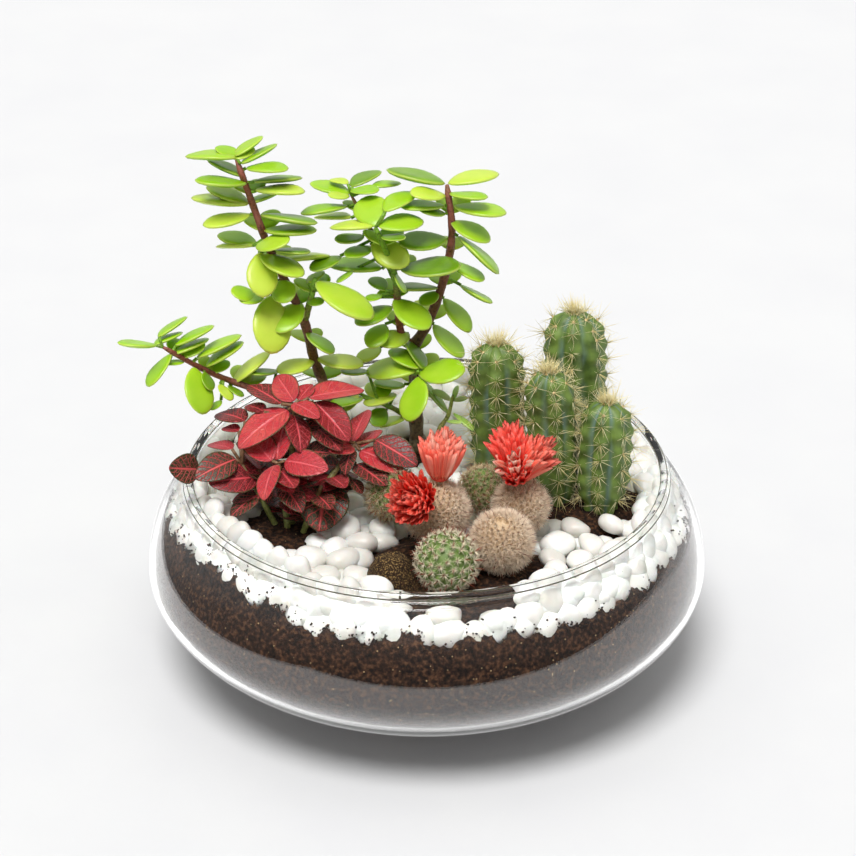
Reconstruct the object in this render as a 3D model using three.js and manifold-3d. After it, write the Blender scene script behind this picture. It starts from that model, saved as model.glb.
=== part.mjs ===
// A glass plant terrarium: a low round glass bowl filled with dark potting mix and white pebbles.
// It is planted with two elephant bushes, a young sprig, a nerve plant, four column cacti and a
// cluster of six pincushion cacti, on which three dried strawflowers are glued.
// Millimetres, +Z up, +X to the right and +Y away from the front. The origin is the centre of
// the flat base of the bowl.
import * as THREE from 'three';
import { mergeVertices } from 'three/addons/utils/BufferGeometryUtils.js';
import Module from 'manifold-3d';

const wasm = await Module();
wasm.setup();

// Driving dimensions

const GAP = 0.3;            // air left between two solids that touch
const GROWN = 0.5;          // air that a leaf, petal or spine keeps to its neighbours
const MERGE = 1e-4;         // vertices nearer than this are one

const BOWL = {
  widest: 110,              // outer radius at the belly
  widestAt: 40,             // height of the belly
  base: 38,                 // radius of the flat base
  rim: 93.5,                // outer radius of the mouth
  height: 80,
  wall: 2.6,
  floor: 3.4,
  rimRise: 0.9,             // height of the rounded lip
  power: 1.8,               // roundness of the lower wall, as of a superellipse
  facets: 32,
  lowerRings: 6,
  upperRings: 3,
};

const SOIL = {
  level: 62,                // height of the mix at the glass
  deepest: -4,              // the block that is cut to the bowl starts here
  margin: 5,                // and is this much wider than the bowl on each side
  cells: 15,
};
const MOUNDS = [
  { x: 12, y: -56, halfX: 38, halfY: 32, rise: 10 },     // under the pincushion cacti
  { x: -13, y: -69, halfX: 11, halfY: 11, rise: 19 },    // lump of mix left of the front ball
  { x: -57, y: -29, halfX: 24, halfY: 22, rise: 9.5 },   // round the nerve plant
  { x: 60, y: -5, halfX: 32, halfY: 30, rise: 10 },      // round the column cacti
  { x: 27, y: 9, halfX: 20, halfY: 18, rise: 8 },        // round the left column
  { x: -3, y: 32, halfX: 24, halfY: 20, rise: 8.5 },     // round the trunk
  { x: -38, y: 18, halfX: 20, halfY: 18, rise: 8.5 },    // round the left stem
];

const PEBBLES = {
  bed: 5.5,                 // depth of the layer
  climb: 4,                 // how far the pebbles follow a mound
  pitch: 12.5,
  rowPitch: 10.8,
  stray: 0.4,               // share of a pitch that a stone may stray over
  heights: [0.2, 1.8],      // of the middle of a stone, from the top of the layer
  long: 7.2,                // half lengths of the largest
  broad: 6.3,
  flat: 4.6,
  smallest: 0.78,           // size of the smallest beside the largest
  tilt: 20,
  seed: 3,
  placeSeed: 7,
};
const BARE_SIDES = 14;
const BARE = [
  { x: 12, y: -57, halfX: 35, halfY: 28 },
  { x: -57, y: -29, halfX: 18, halfY: 16 },
  { x: 64, y: -9, halfX: 22, halfY: 20 },
  { x: 31, y: 6, halfX: 15, halfY: 12 },
  { x: -2, y: 29, halfX: 14, halfY: 11 },
  { x: -38, y: 17, halfX: 9, halfY: 8 },
];

const STEM_SIDES = 5;
const CROWDING = 0.8;       // under 1, the pairs draw together to the tip of a shoot
const ROOT_DEPTH = 0.9;     // how far past the middle of its stem a leaf starts
const LEAF_SIZES = [0.9, 1.1];
const LEAF_TURN = 14;       // how far a leaf may be turned about its stem from its rule
const LEAF_LEAN = 9;        // and how far it may lean from its rule
const SKYWARD = 0.7;        // how much a blade faces the sky rather than along its stem

// A leaf that would touch another is bent up or down, or swung to the side, until it is clear.
const BENDS = [0, 13, -13, 26, -26, 39, -39];
const SWINGS = [0, 20, -20];

// Half widths of each leaf outline at shares of its length. Its root and its tip are points.
const BUSH_LEAF = { stations: [0.4, 0.85], halves: [0.46, 0.38], crown: 0.6 };
const NERVE_LEAF = { stations: [0.32, 0.7], halves: [0.48, 0.4], crown: 0.5 };
const PETAL = { stations: [0.62], halves: [0.5], crown: 0.55 };

const BUSH_GREEN = { color: 0x7bb51f, roughness: 0.45, metalness: 0 };

// Each shoot is a stem through some points, with leaf pairs that crowd to its tip, each pair turned
// a quarter from the one below. Spread is the angle of a leaf to its stem, low down and at the tip,
// and upright is how far the pairs of a leaning stem are levelled.
const LEFT_BUSH = [
  {
    path: [[-38, 18, 56], [-39.5, 18, 104], [-44, 18, 119], [-48.4, 18, 138], [-59.5, 18, 164],
      [-65, 18, 181], [-72, 18, 204]],
    thick: 3.2, thin: 1.5, steps: 11, pairs: 11, from: 0.52, turn: 26, upright: 0.7,
    long: [24, 22], broad: [15, 11], spread: [112, 72], seed: 11,
  },
  {
    path: [[-42, 18, 112], [-44, 17.8, 120]],
    thick: 1.6, thin: 1.4, steps: 1, pairs: 1, from: 1, turn: 4, upright: 0.7,
    long: [21, 20], broad: [12, 11], spread: [80, 84], seed: 12,
  },
  {
    path: [[-47.5, 18, 136], [-44.5, 16, 147], [-43, 14, 156]],
    thick: 1.7, thin: 1.3, steps: 2, pairs: 2, from: 0.5, turn: -75, upright: 0.5,
    long: [18, 23], broad: [12, 14], spread: [80, 112], seed: 13,
  },
  {
    path: [[-38.8, 18, 84], [-48, 14, 97], [-61, 10, 107], [-83, 2, 121], [-101, -4, 135.5]],
    thick: 2, thin: 1.2, steps: 6, pairs: 8, from: 0.42, turn: -80, upright: 0,
    long: [19, 15], broad: [11, 8], spread: [86, 62], seed: 14,
  },
];

const RIGHT_BUSH = [
  {
    path: [[-3, 33, 56], [-4.5, 32, 96], [-5, 31, 121]],
    thick: 4.6, thin: 3.6, steps: 4, pairs: 0,
  },
  {
    path: [[-5, 31, 118], [1, 30, 130], [7, 30, 149], [9.8, 30, 168], [7.8, 30, 188]],
    thick: 2.4, thin: 1.5, steps: 7, pairs: 9, from: 0.18, turn: 22, upright: 0.1,
    long: [22, 22], broad: [14, 11], spread: [104, 64], seed: 21,
  },
  {
    path: [[-5.5, 31, 118], [-10.1, 27, 126], [-11.5, 24, 143], [-12.8, 21, 156], [-19.5, 15, 177]],
    thick: 2.1, thin: 1.4, steps: 7, pairs: 7, from: 0.34, turn: 30, upright: 0.4,
    long: [23, 18], broad: [16, 12.5], spread: [98, 62], seed: 22,
  },
  {
    path: [[-12, 23, 150], [-20, 29, 166], [-29, 35, 181]],
    thick: 1.7, thin: 1.2, steps: 3, pairs: 4, from: 0.35, turn: 28, upright: 0.6,
    long: [22, 19], broad: [12, 11], spread: [88, 66], seed: 23,
  },
  {
    path: [[-5, 31, 100], [-5, 22, 110], [-3.3, 13, 116]],
    thick: 2, thin: 1.5, steps: 2, pairs: 2, from: 0.72, turn: 86, upright: 0.6,
    long: [20, 22], broad: [13, 13], spread: [80, 92], seed: 24,
  },
  {
    path: [[-5, 31, 84], [-12, 24, 93], [-19, 16, 101]],
    thick: 1.7, thin: 1.3, steps: 2, pairs: 3, from: 0.5, turn: 20, upright: 0.3,
    long: [18, 17], broad: [10, 9], spread: [84, 60], seed: 25,
  },
];

const SPRIG = [
  {
    path: [[2.5, 12, 62], [4, 11, 88], [8.4, 12, 97], [10.3, 12.5, 106]],
    thick: 1.1, thin: 0.7, steps: 4, pairs: 3, from: 0.6, turn: 20, upright: 0,
    long: [12, 10], broad: [5.5, 4.5], spread: [65, 45], seed: 31,
  },
];

const NERVE_PLANT = [
  {
    path: [[-53, -31, 62], [-54.5, -31, 84], [-56.5, -30, 99]],
    thick: 1.6, thin: 1.1, steps: 2, pairs: 4, from: 0.76, turn: -20, upright: 0.3,
    long: [23, 18], broad: [13, 10], spread: [94, 42], seed: 41,
  },
  {
    path: [[-52, -30, 62], [-52, -22, 92], [-50.5, -13, 115]],
    thick: 1.6, thin: 1.1, steps: 3, pairs: 5, from: 0.7, turn: 28, upright: 0.3,
    long: [24, 23], broad: [13, 12], spread: [100, 50], seed: 42,
  },
  {
    path: [[-50, -32, 62], [-42, -29, 83], [-27.6, -20, 102]],
    thick: 1.6, thin: 1.1, steps: 3, pairs: 4, from: 0.62, turn: 35, upright: 0.5,
    long: [24, 17], broad: [14, 10], spread: [100, 58], seed: 43,
  },
  {
    path: [[-54, -30, 62], [-63, -26, 80], [-71, -20, 93]],
    thick: 1.6, thin: 1.1, steps: 3, pairs: 2, from: 0.7, turn: -60, upright: 0.4,
    long: [18, 19], broad: [11, 11], spread: [78, 74], seed: 44,
  },
  {
    path: [[-50, -33, 62], [-44.5, -34, 80], [-40, -33, 91]],
    thick: 1.6, thin: 1.1, steps: 2, pairs: 1, from: 1, turn: 75, upright: 0.5,
    long: [21, 21], broad: [18, 18], spread: [120, 120], seed: 45,
  },
];
const NERVE_CROWN = { x: -52.5, y: -31, bottom: 58, top: 66, radius: 4.5, sides: 10 };

const COLUMNS = [
  { name: 'column_cactus_left', foot: [29, 8, 64], top: [26.8, 8, 131], radius: 11, turn: 0.2 },
  { name: 'column_cactus_back', foot: [58.9, 16, 64], top: [57.5, 18, 139.5], radius: 12.4, turn: 0.1 },
  { name: 'column_cactus_middle', foot: [50.5, -9.5, 64], top: [46.8, -8, 127], radius: 9.8, turn: 0.4 },
  { name: 'column_cactus_right', foot: [67.4, -15, 64], top: [69.2, -12, 116], radius: 10.6, turn: 0 },
];
const COLUMN = {
  ribs: 7,
  groove: 0.24,             // depth of a groove, as a share of the radius
  footRadius: 6.2,
  soilLine: 72,             // under this height a column is a plain round foot
  neck: 6,                  // first ribbed ring over the soil line
  swell: 15,                // height over which the foot widens to the body
  waist: 0.65,              // place of the ring between the soil line and the dome
  dome: [0.55, 0.88],       // rings of the dome, as shares of the radius
  rows: 5,                  // spines on each rib
  lowestRow: 9,             // over the soil line
  topRow: 2.5,              // under the tip
  spineLong: 8.5,
  spineThick: 0.45,
  spineSizes: [0.75, 1.05],
  spineRoot: 1,             // how deep a spine starts
  spineSeat: 0.96,          // where, as a share of the radius
  splay: 0.25,              // how far a spine may point to the side
  rise: [-0.5, 0.8],        // how far it points down or up
  topRise: 1.6,             // how much more the spines at the tip point up
  seed: 61,
};

const HEADS = [
  { name: 'pincushion_front', at: [7.5, -70, 79.5], foot: 66, radius: 10.6, color: 0x8f9c6a },
  { name: 'pincushion_front_right', at: [28.3, -60.5, 82.6], foot: 66, radius: 11, color: 0xc9a98b },
  { name: 'pincushion_centre', at: [3.7, -45.5, 87], foot: 66, radius: 11.6, color: 0xb08f74 },
  { name: 'pincushion_left', at: [-12.8, -30, 86], foot: 66, radius: 9.3, color: 0x9aa66e },
  { name: 'pincushion_right', at: [36, -38, 85.2], foot: 66, radius: 9.5, color: 0xae9a72 },
  { name: 'pincushion_back', at: [21.8, -25.5, 84.5], foot: 66, radius: 8.5, color: 0x93946a },
];
const HEAD = {
  facets: 12,
  domeSteps: 5,
  bump: 0.05,               // depth between two bumps, as a share of the radius
  footShare: 0.72,          // radius of the foot beside that of the head
  cheek: [0.94, 0.45],      // ring between them: its radius, and its share of the way down
  spines: 24,
  lowestSpine: -0.45,       // how far down the head they reach, as a share of the radius
  spineLong: 3.4,
  longer: 0.1,              // how much longer they are on a larger head, for each mm of radius
  spineThick: 0.5,
  spineSeat: 0.9,           // where they start, as a share of the radius
  sway: 0.9,
  seed: 71,
};

// A flower's seat and aim are directions from the middle of the head that it is glued on.
const FLOWERS = [
  {
    name: 'strawflower_left', head: 'pincushion_centre',
    seat: [-0.4, -0.63, 0.67], aim: [-0.45, -0.72, 0.5], long: 14,
    layers: [{ petals: 10, open: 50, broad: 4.4, lift: 1 }, { petals: 7, open: 24, broad: 3.6, lift: 3 }],
    color: 0xe8301f, seed: 51,
  },
  {
    name: 'strawflower_centre', head: 'pincushion_centre',
    seat: [0.08, 0.15, 1], aim: [0.12, 0.2, 1], long: 18.5,
    layers: [{ petals: 9, open: 24, broad: 4, lift: 1 }, { petals: 6, open: 9, broad: 3, lift: 3 }],
    color: 0xf4614a, seed: 52,
  },
  {
    name: 'strawflower_right', head: 'pincushion_right',
    seat: [-0.14, 0.1, 1], aim: [-0.08, -0.22, 1], long: 21,
    layers: [{ petals: 10, open: 37, broad: 4.6, lift: 1 }, { petals: 7, open: 17, broad: 3.8, lift: 3 }],
    color: 0xee3b2c, seed: 53,
  },
];
const FLOWER = {
  facets: 8,
  foot: 1.76,               // radii of the core at its foot, its belly and its top
  belly: 3.2,
  top: 2.24,
  bellyAt: 3.6,
  topAt: 7.2,
  coreLong: 9,
  petalRing: 1.6,           // radius at which the petals start
  petalSizes: [0.84, 1],
  petalThick: 0.9,
  petalDish: 0.4,
  sway: 10,
  layerSeed: 100,
  glue: 0.25,
};

// Small tools for the shapes

const turnOf = (degrees) => degrees * Math.PI / 180;
const mix = (a, b, t) => a + (b - a) * t;
const either = (most, t) => mix(-most, most, t);
const point = ([x, y, z]) => new THREE.Vector3(x, y, z);

// A number from 0 to 1 that is always the same for the same seed and count.
function draw(seed, count) {
  const wave = Math.sin(seed * 127.1 + count * 311.7) * 43758.5453;
  return wave - Math.floor(wave);
}

function solid(geometry) {
  const bare = geometry.clone();
  bare.deleteAttribute('normal');
  bare.deleteAttribute('uv');
  const merged = mergeVertices(bare, MERGE);
  const corners = merged.index.array;
  const kept = [];
  for (let i = 0; i < corners.length; i += 3) {
    const [a, b, c] = [corners[i], corners[i + 1], corners[i + 2]];
    if (a !== b && b !== c && c !== a) kept.push(a, b, c);
  }
  return new wasm.Manifold(new wasm.Mesh({
    numProp: 3,
    vertProperties: new Float32Array(merged.attributes.position.array),
    triVerts: new Uint32Array(kept),
  }));
}

function geometryOf(body) {
  const mesh = body.getMesh();
  const geometry = new THREE.BufferGeometry();
  geometry.setAttribute('position', new THREE.BufferAttribute(mesh.vertProperties, 3));
  geometry.setIndex(new THREE.BufferAttribute(mesh.triVerts, 1));
  geometry.computeVertexNormals();
  return geometry;
}

const joined = (pieces) => pieces.reduce((whole, piece) => whole.add(piece));

function reshape(geometry, change) {
  const places = geometry.attributes.position;
  const vertex = new THREE.Vector3();
  for (let i = 0; i < places.count; i += 1) {
    vertex.fromBufferAttribute(places, i);
    change(vertex);
    places.setXYZ(i, vertex.x, vertex.y, vertex.z);
  }
  return geometry;
}

// A lathe profile is drawn as [radius, height] and spun about +Z, with an edge to +X.
function spun(profile, facets) {
  const outline = profile.map(([radius, height]) => new THREE.Vector2(radius, height));
  return new THREE.LatheGeometry(outline, facets).rotateX(Math.PI / 2).rotateZ(Math.PI / 2);
}

// Stands a shape drawn about +Z on a point, along a direction.
function stoodOn(geometry, start, direction) {
  const turn = new THREE.Quaternion().setFromUnitVectors(
    new THREE.Vector3(0, 0, 1), direction.clone().normalize());
  return geometry.applyQuaternion(turn).translate(start.x, start.y, start.z);
}

// Every solid of the object, with the pieces that it is joined from and their boxes.
const parts = new Map();

function boxed(body) {
  const { min, max } = body.boundingBox();
  return { body, box: new THREE.Box3(new THREE.Vector3(...min), new THREE.Vector3(...max)) };
}

function keep(name, body) {
  if (!parts.has(name)) parts.set(name, []);
  parts.get(name).push(boxed(body));
}

function isClearOf(pieces, body) {
  const { box } = boxed(body);
  return !pieces.some((placed) => placed.box.intersectsBox(box) && !placed.body.intersect(body).isEmpty());
}

// True where a piece of one solid touches no piece of any other.
function isFree(name, body) {
  return [...parts].every(([other, pieces]) => other === name || isClearOf(pieces, body));
}

// Bowl: blown glass, a flat base, a round belly and a wall that leans in to the mouth

function bowlSide(inset, bottom) {
  const side = [];
  const { widest, widestAt, base, rim, height, rimRise, power } = BOWL;
  for (let i = 0; i <= BOWL.lowerRings; i += 1) {
    const angle = (i / BOWL.lowerRings) * Math.PI / 2;
    const out = Math.sin(angle) ** (2 / power);
    const down = Math.max(Math.cos(angle), 0) ** (2 / power);
    side.push([mix(base, widest - inset, out), mix(widestAt, bottom, down)]);
  }
  const lean = widest - rim;
  const climb = height - widestAt;
  const arc = (lean * lean + climb * climb) / (2 * lean);
  for (let i = 1; i <= BOWL.upperRings; i += 1) {
    const rise = (climb - rimRise) * i / BOWL.upperRings;
    side.push([widest - arc + Math.sqrt((arc - inset) ** 2 - rise * rise), widestAt + rise]);
  }
  return side;
}

function bowl() {
  const outside = bowlSide(0, 0);
  const inside = bowlSide(BOWL.wall, BOWL.floor);
  const [outerLip] = outside.at(-1);
  const [innerLip] = inside.at(-1);
  const lip = [(outerLip + innerLip) / 2, BOWL.height];
  return solid(spun([[0, 0], ...outside, lip, ...inside.reverse(), [0, BOWL.floor]], BOWL.facets));
}

function roomInBowl() {
  const side = bowlSide(BOWL.wall + GAP, BOWL.floor + GAP);
  return solid(spun([[0, BOWL.floor + GAP], ...side, [0, side.at(-1)[1]]], BOWL.facets));
}

// Potting mix: fills the bowl and rises in low mounds round the plants

function soilHeight(x, y) {
  const rise = MOUNDS.map((mound) => {
    const away = ((x - mound.x) / mound.halfX) ** 2 + ((y - mound.y) / mound.halfY) ** 2;
    return mound.rise * Math.exp(-away * away);
  });
  return SOIL.level + Math.max(...rise);
}

function ground(lift) {
  const side = 2 * (BOWL.widest + SOIL.margin);
  const depth = SOIL.level - SOIL.deepest;
  const block = new THREE.BoxGeometry(side, side, depth, SOIL.cells, SOIL.cells, 1);
  block.translate(0, 0, SOIL.level - depth / 2);
  return solid(reshape(block, (vertex) => {
    if (vertex.z > 0) vertex.z = soilHeight(vertex.x, vertex.y) + lift;
  }));
}

// Pebbles: polished white stones in one layer that the bare ground shows through

function pebble(x, y, z, count) {
  const size = mix(PEBBLES.smallest, 1, draw(PEBBLES.seed, count));
  const stone = new THREE.SphereGeometry(1, 6, 2).rotateX(Math.PI / 2);
  stone.scale(PEBBLES.long * size, PEBBLES.broad * size, PEBBLES.flat * size);
  stone.rotateX(turnOf(either(PEBBLES.tilt, draw(PEBBLES.seed + 1, count))));
  stone.rotateZ(turnOf(360 * draw(PEBBLES.seed + 2, count)));
  return solid(stone.translate(x, y, z));
}

function isBare(x, y) {
  return BARE.some((spot) => {
    return ((x - spot.x) / spot.halfX) ** 2 + ((y - spot.y) / spot.halfY) ** 2 < 1;
  });
}

function pebbleBed() {
  let bed = ground(PEBBLES.bed);
  const tall = 2 * BOWL.height;
  for (const spot of BARE) {
    const pillar = new THREE.CylinderGeometry(1, 1, tall, BARE_SIDES).rotateX(Math.PI / 2);
    pillar.scale(spot.halfX, spot.halfY, 1).translate(spot.x, spot.y, tall / 2);
    bed = bed.subtract(solid(pillar));
  }
  const stones = [bed];
  const { pitch, rowPitch, stray, placeSeed } = PEBBLES;
  const reach = Math.ceil(BOWL.widest / pitch);
  let count = 0;
  for (let row = -reach; row <= reach; row += 1) {
    for (let step = -reach; step <= reach; step += 1) {
      count += 1;
      const x = (step + (row % 2) / 2 + either(stray / 2, draw(placeSeed, count))) * pitch;
      const y = (row + either(stray / 2, draw(placeSeed + 1, count))) * rowPitch;
      if (Math.hypot(x, y) > BOWL.widest || isBare(x, y)) continue;
      const lowGround = Math.min(soilHeight(x, y), SOIL.level + PEBBLES.climb);
      const z = lowGround + PEBBLES.bed + mix(...PEBBLES.heights, draw(placeSeed + 2, count));
      stones.push(pebble(x, y, z, count));
    }
  }
  return joined(stones);
}

// Stems: round, thicker at the root, and leaf blades that stand on them in pairs

function stem(shoot, grow) {
  const path = new THREE.CatmullRomCurve3(shoot.path.map(point));
  const round = new THREE.CircleGeometry(1, STEM_SIDES).attributes.position;
  const corners = [];
  for (let i = 1; i <= STEM_SIDES; i += 1) corners.push(new THREE.Vector2(round.getX(i), round.getY(i)));
  const tube = new THREE.ExtrudeGeometry(new THREE.Shape(corners), {
    steps: shoot.steps, extrudePath: path, bevelEnabled: false,
  });
  const rings = path.getSpacedPoints(shoot.steps);
  return solid(reshape(tube, (vertex) => {
    const away = rings.map((ring) => ring.distanceTo(vertex));
    const nearest = away.indexOf(Math.min(...away));
    const radius = mix(shoot.thick, shoot.thin, nearest / shoot.steps) + grow;
    vertex.sub(rings[nearest]).multiplyScalar(radius).add(rings[nearest]);
  }));
}

// A blade lies along +X with its upper face to +Z. It is thickest at its crown and thin at its
// edge, and dished by moving the crown down.
function blade(outline, long, broad, thick, dish) {
  const { stations, halves, crown } = outline;
  const rim = [new THREE.Vector3()];
  stations.forEach((share, i) => rim.push(new THREE.Vector3(long * share, -broad * halves[i], 0)));
  rim.push(new THREE.Vector3(long, 0, 0));
  for (let i = stations.length - 1; i >= 0; i -= 1) {
    rim.push(new THREE.Vector3(long * stations[i], broad * halves[i], 0));
  }
  const upper = new THREE.Vector3(long * crown, 0, thick / 2 - dish);
  const lower = new THREE.Vector3(long * crown, 0, -thick / 2 - dish);
  const corners = [];
  rim.forEach((_, i) => {
    const next = (i + 1) % rim.length;
    corners.push(i, next, rim.length, next, i, rim.length + 1);
  });
  const geometry = new THREE.BufferGeometry().setFromPoints([...rim, upper, lower]);
  geometry.setIndex(corners);
  return geometry;
}

function placedBlade(geometry, start, direction, facing) {
  const ahead = direction.clone().normalize();
  const side = facing.clone().cross(ahead).normalize();
  const up = ahead.clone().cross(side);
  const frame = new THREE.Matrix4().makeBasis(ahead, side, up).setPosition(start);
  return solid(geometry.applyMatrix4(frame));
}

function leaf(plant, shoot, pair, half) {
  const { name, outline, thick, dish } = plant;
  const path = new THREE.CatmullRomCurve3(shoot.path.map(point));
  const share = shoot.pairs > 1 ? pair / (shoot.pairs - 1) : 1;
  const along = mix(shoot.from, 1, share ** CROWDING);
  const start = path.getPointAt(along);
  const axis = path.getTangentAt(along).lerp(new THREE.Vector3(0, 0, 1), shoot.upright).normalize();
  const level = axis.clone().cross(new THREE.Vector3(0, 1, 0)).normalize();
  const across = level.clone().cross(axis);
  const facing = axis.clone().addScaledVector(new THREE.Vector3(0, 0, 1), SKYWARD);
  const count = 2 * pair + half;
  const size = mix(...LEAF_SIZES, draw(shoot.seed + 1, count));
  const long = mix(...shoot.long, share) * size;
  const broad = mix(...shoot.broad, share) * size;
  const turn = shoot.turn + 90 * pair + 180 * half + either(LEAF_TURN, draw(shoot.seed, count));
  const lean = mix(...shoot.spread, share) + either(LEAF_LEAN, draw(shoot.seed + 2, count));
  let crossing = null;
  for (const swing of SWINGS) {
    for (const bend of BENDS) {
      const spread = turnOf(lean + bend);
      const side = turnOf(turn + swing);
      const out = level.clone().multiplyScalar(Math.cos(side)).addScaledVector(across, Math.sin(side));
      const ahead = axis.clone().multiplyScalar(Math.cos(spread)).addScaledVector(out, Math.sin(spread));
      const root = start.clone().addScaledVector(ahead, -ROOT_DEPTH);
      const roomy = blade(outline, long + GROWN, broad + GROWN, thick + 2 * GROWN, dish);
      if (!isFree(name, placedBlade(roomy, root, ahead, facing))) continue;
      const placed = placedBlade(blade(outline, long, broad, thick, dish), root, ahead, facing);
      const clearRoot = start.clone().addScaledVector(ahead, shoot.thick + ROOT_DEPTH);
      const far = blade(outline, long - shoot.thick - ROOT_DEPTH, broad, thick, dish);
      if (isClearOf(parts.get(name), placedBlade(far, clearRoot, ahead, facing))) return placed;
      crossing = crossing ?? placed;
    }
  }
  return crossing;
}

function leafPairs(plant, shoot) {
  for (let pair = 0; pair < shoot.pairs; pair += 1) {
    for (let half = 0; half < 2; half += 1) {
      const placed = leaf(plant, shoot, pair, half);
      if (placed) keep(plant.name, placed);
    }
  }
}

// Column cacti: ribbed, narrow at the root, with a cluster of spines at each point of a rib

function columnAxis(column) {
  const foot = point(column.foot);
  const top = point(column.top);
  return { foot, top, long: foot.distanceTo(top), aim: top.clone().sub(foot).normalize() };
}

// Radius of a column at a height over its foot.
function columnRadius(column, height) {
  const { long } = columnAxis(column);
  const soilLine = COLUMN.soilLine - column.foot[2];
  if (height <= soilLine) return COLUMN.footRadius;
  const swelling = Math.min((height - soilLine) / COLUMN.swell, 1);
  const body = mix(COLUMN.footRadius, column.radius, Math.sin(swelling * Math.PI / 2));
  const dome = Math.max(height - (long - column.radius), 0) / column.radius;
  return body * Math.sqrt(Math.max(1 - dome * dome, 0));
}

function columnBody(column, grow) {
  const { foot, long, aim } = columnAxis(column);
  const soilLine = COLUMN.soilLine - column.foot[2];
  const shoulder = long - column.radius;
  const heights = [0, soilLine, soilLine + COLUMN.neck, soilLine + COLUMN.swell,
    mix(soilLine, shoulder, COLUMN.waist), shoulder,
    ...COLUMN.dome.map((share) => shoulder + share * column.radius)];
  const profile = heights.map((height) => [columnRadius(column, height) + grow, height]);
  const lathe = spun([[0, -grow], ...profile, [0, long + grow]], 2 * COLUMN.ribs);
  reshape(lathe, (vertex) => {
    const groove = vertex.z > soilLine + 1 && grow === 0 ? COLUMN.groove : 0;
    const turn = Math.atan2(vertex.y, vertex.x);
    const depth = 1 - groove * (0.5 - 0.5 * Math.cos(COLUMN.ribs * turn));
    vertex.x *= depth;
    vertex.y *= depth;
  });
  return solid(stoodOn(lathe.rotateZ(column.turn), foot, aim));
}

function spine(root, direction, long, thick) {
  const cone = new THREE.ConeGeometry(thick, long, 3).rotateX(Math.PI / 2).translate(0, 0, long / 2);
  return solid(stoodOn(cone, root, direction));
}

function columnSpines(column) {
  const { foot, long, aim } = columnAxis(column);
  const turn = new THREE.Quaternion().setFromUnitVectors(new THREE.Vector3(0, 0, 1), aim);
  const lowest = COLUMN.soilLine - column.foot[2] + COLUMN.lowestRow;
  const topRow = COLUMN.rows - 1;
  for (let rib = 0; rib < COLUMN.ribs; rib += 1) {
    const angle = column.turn + rib * 2 * Math.PI / COLUMN.ribs;
    const outward = new THREE.Vector3(Math.cos(angle), Math.sin(angle), 0);
    const sideways = new THREE.Vector3(-outward.y, outward.x, 0);
    for (let row = 0; row < COLUMN.rows; row += 1) {
      const count = rib * COLUMN.rows + row;
      const height = mix(lowest, long - COLUMN.topRow, row / topRow);
      const reach = columnRadius(column, height) * COLUMN.spineSeat;
      const rise = mix(...COLUMN.rise, draw(COLUMN.seed + 1, count)) + (row === topRow ? COLUMN.topRise : 0);
      const direction = outward.clone().setZ(rise);
      direction.addScaledVector(sideways, either(COLUMN.splay, draw(COLUMN.seed, count))).normalize();
      const root = outward.clone().multiplyScalar(reach).setZ(height);
      root.addScaledVector(direction, -COLUMN.spineRoot).applyQuaternion(turn).add(foot);
      const size = COLUMN.spineLong * mix(...COLUMN.spineSizes, draw(COLUMN.seed + 2, count));
      const heading = direction.applyQuaternion(turn);
      const roomy = spine(root, heading, size + GROWN, COLUMN.spineThick + GROWN);
      if (isFree(column.name, roomy)) keep(column.name, spine(root, heading, size, COLUMN.spineThick));
    }
  }
}

// Pincushion cacti: short round heads covered in bumps, each bump with its spines

function headBody(head, grow) {
  const [x, y, z] = head.at;
  const radius = head.radius + grow;
  const foot = head.foot - z - grow;
  const [cheekRadius, cheekDown] = HEAD.cheek;
  const profile = [[0, foot], [head.radius * HEAD.footShare + grow, foot],
    [radius * cheekRadius, foot * cheekDown]];
  for (let i = 0; i < HEAD.domeSteps; i += 1) {
    const angle = (i / HEAD.domeSteps) * Math.PI / 2;
    profile.push([radius * Math.cos(angle), radius * Math.sin(angle)]);
  }
  const lathe = spun([...profile, [0, radius]], HEAD.facets);
  if (grow === 0) {
    reshape(lathe, (vertex) => {
      const facet = Math.round(Math.atan2(vertex.y, vertex.x) * HEAD.facets / (2 * Math.PI) + vertex.z);
      if (vertex.z > foot / 2) vertex.multiplyScalar(1 - HEAD.bump * Math.abs(facet % 2));
    });
  }
  return solid(lathe.translate(x, y, z));
}

function headSpines(head) {
  const centre = point(head.at);
  const goldenAngle = Math.PI * (3 - Math.sqrt(5));
  for (let i = 0; i < HEAD.spines; i += 1) {
    const height = mix(1, HEAD.lowestSpine, (i + 0.5) / HEAD.spines);
    const turn = i * goldenAngle;
    const flat = Math.sqrt(1 - height * height);
    const outward = new THREE.Vector3(flat * Math.cos(turn), flat * Math.sin(turn), height);
    const root = centre.clone().addScaledVector(outward, head.radius * HEAD.spineSeat);
    const [swayX, swayY, swayZ] = [0, 1, 2].map((axis) => draw(HEAD.seed + axis, i) - 0.5);
    const heading = outward.addScaledVector(new THREE.Vector3(swayX, swayY, swayZ), HEAD.sway);
    const long = HEAD.spineLong + head.radius * HEAD.longer;
    const roomy = spine(root, heading, long + GROWN, HEAD.spineThick + GROWN);
    if (isFree(head.name, roomy)) keep(head.name, spine(root, heading, long, HEAD.spineThick));
  }
}

// Strawflowers: dried heads of stiff pointed bracts in layers round a core, glued on by the foot

function flowerSeat({ head, seat }) {
  const { at, radius } = HEADS.find(({ name }) => name === head);
  return point(at).addScaledVector(point(seat).normalize(), radius + GAP + FLOWER.glue);
}

function flowerBody(flower) {
  const { foot, belly, bellyAt, top, topAt, coreLong, facets } = FLOWER;
  const profile = [[0, 0], [foot, 0], [belly, bellyAt], [top, topAt], [0, coreLong]];
  return solid(stoodOn(spun(profile, facets), flowerSeat(flower), point(flower.aim)));
}

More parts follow.
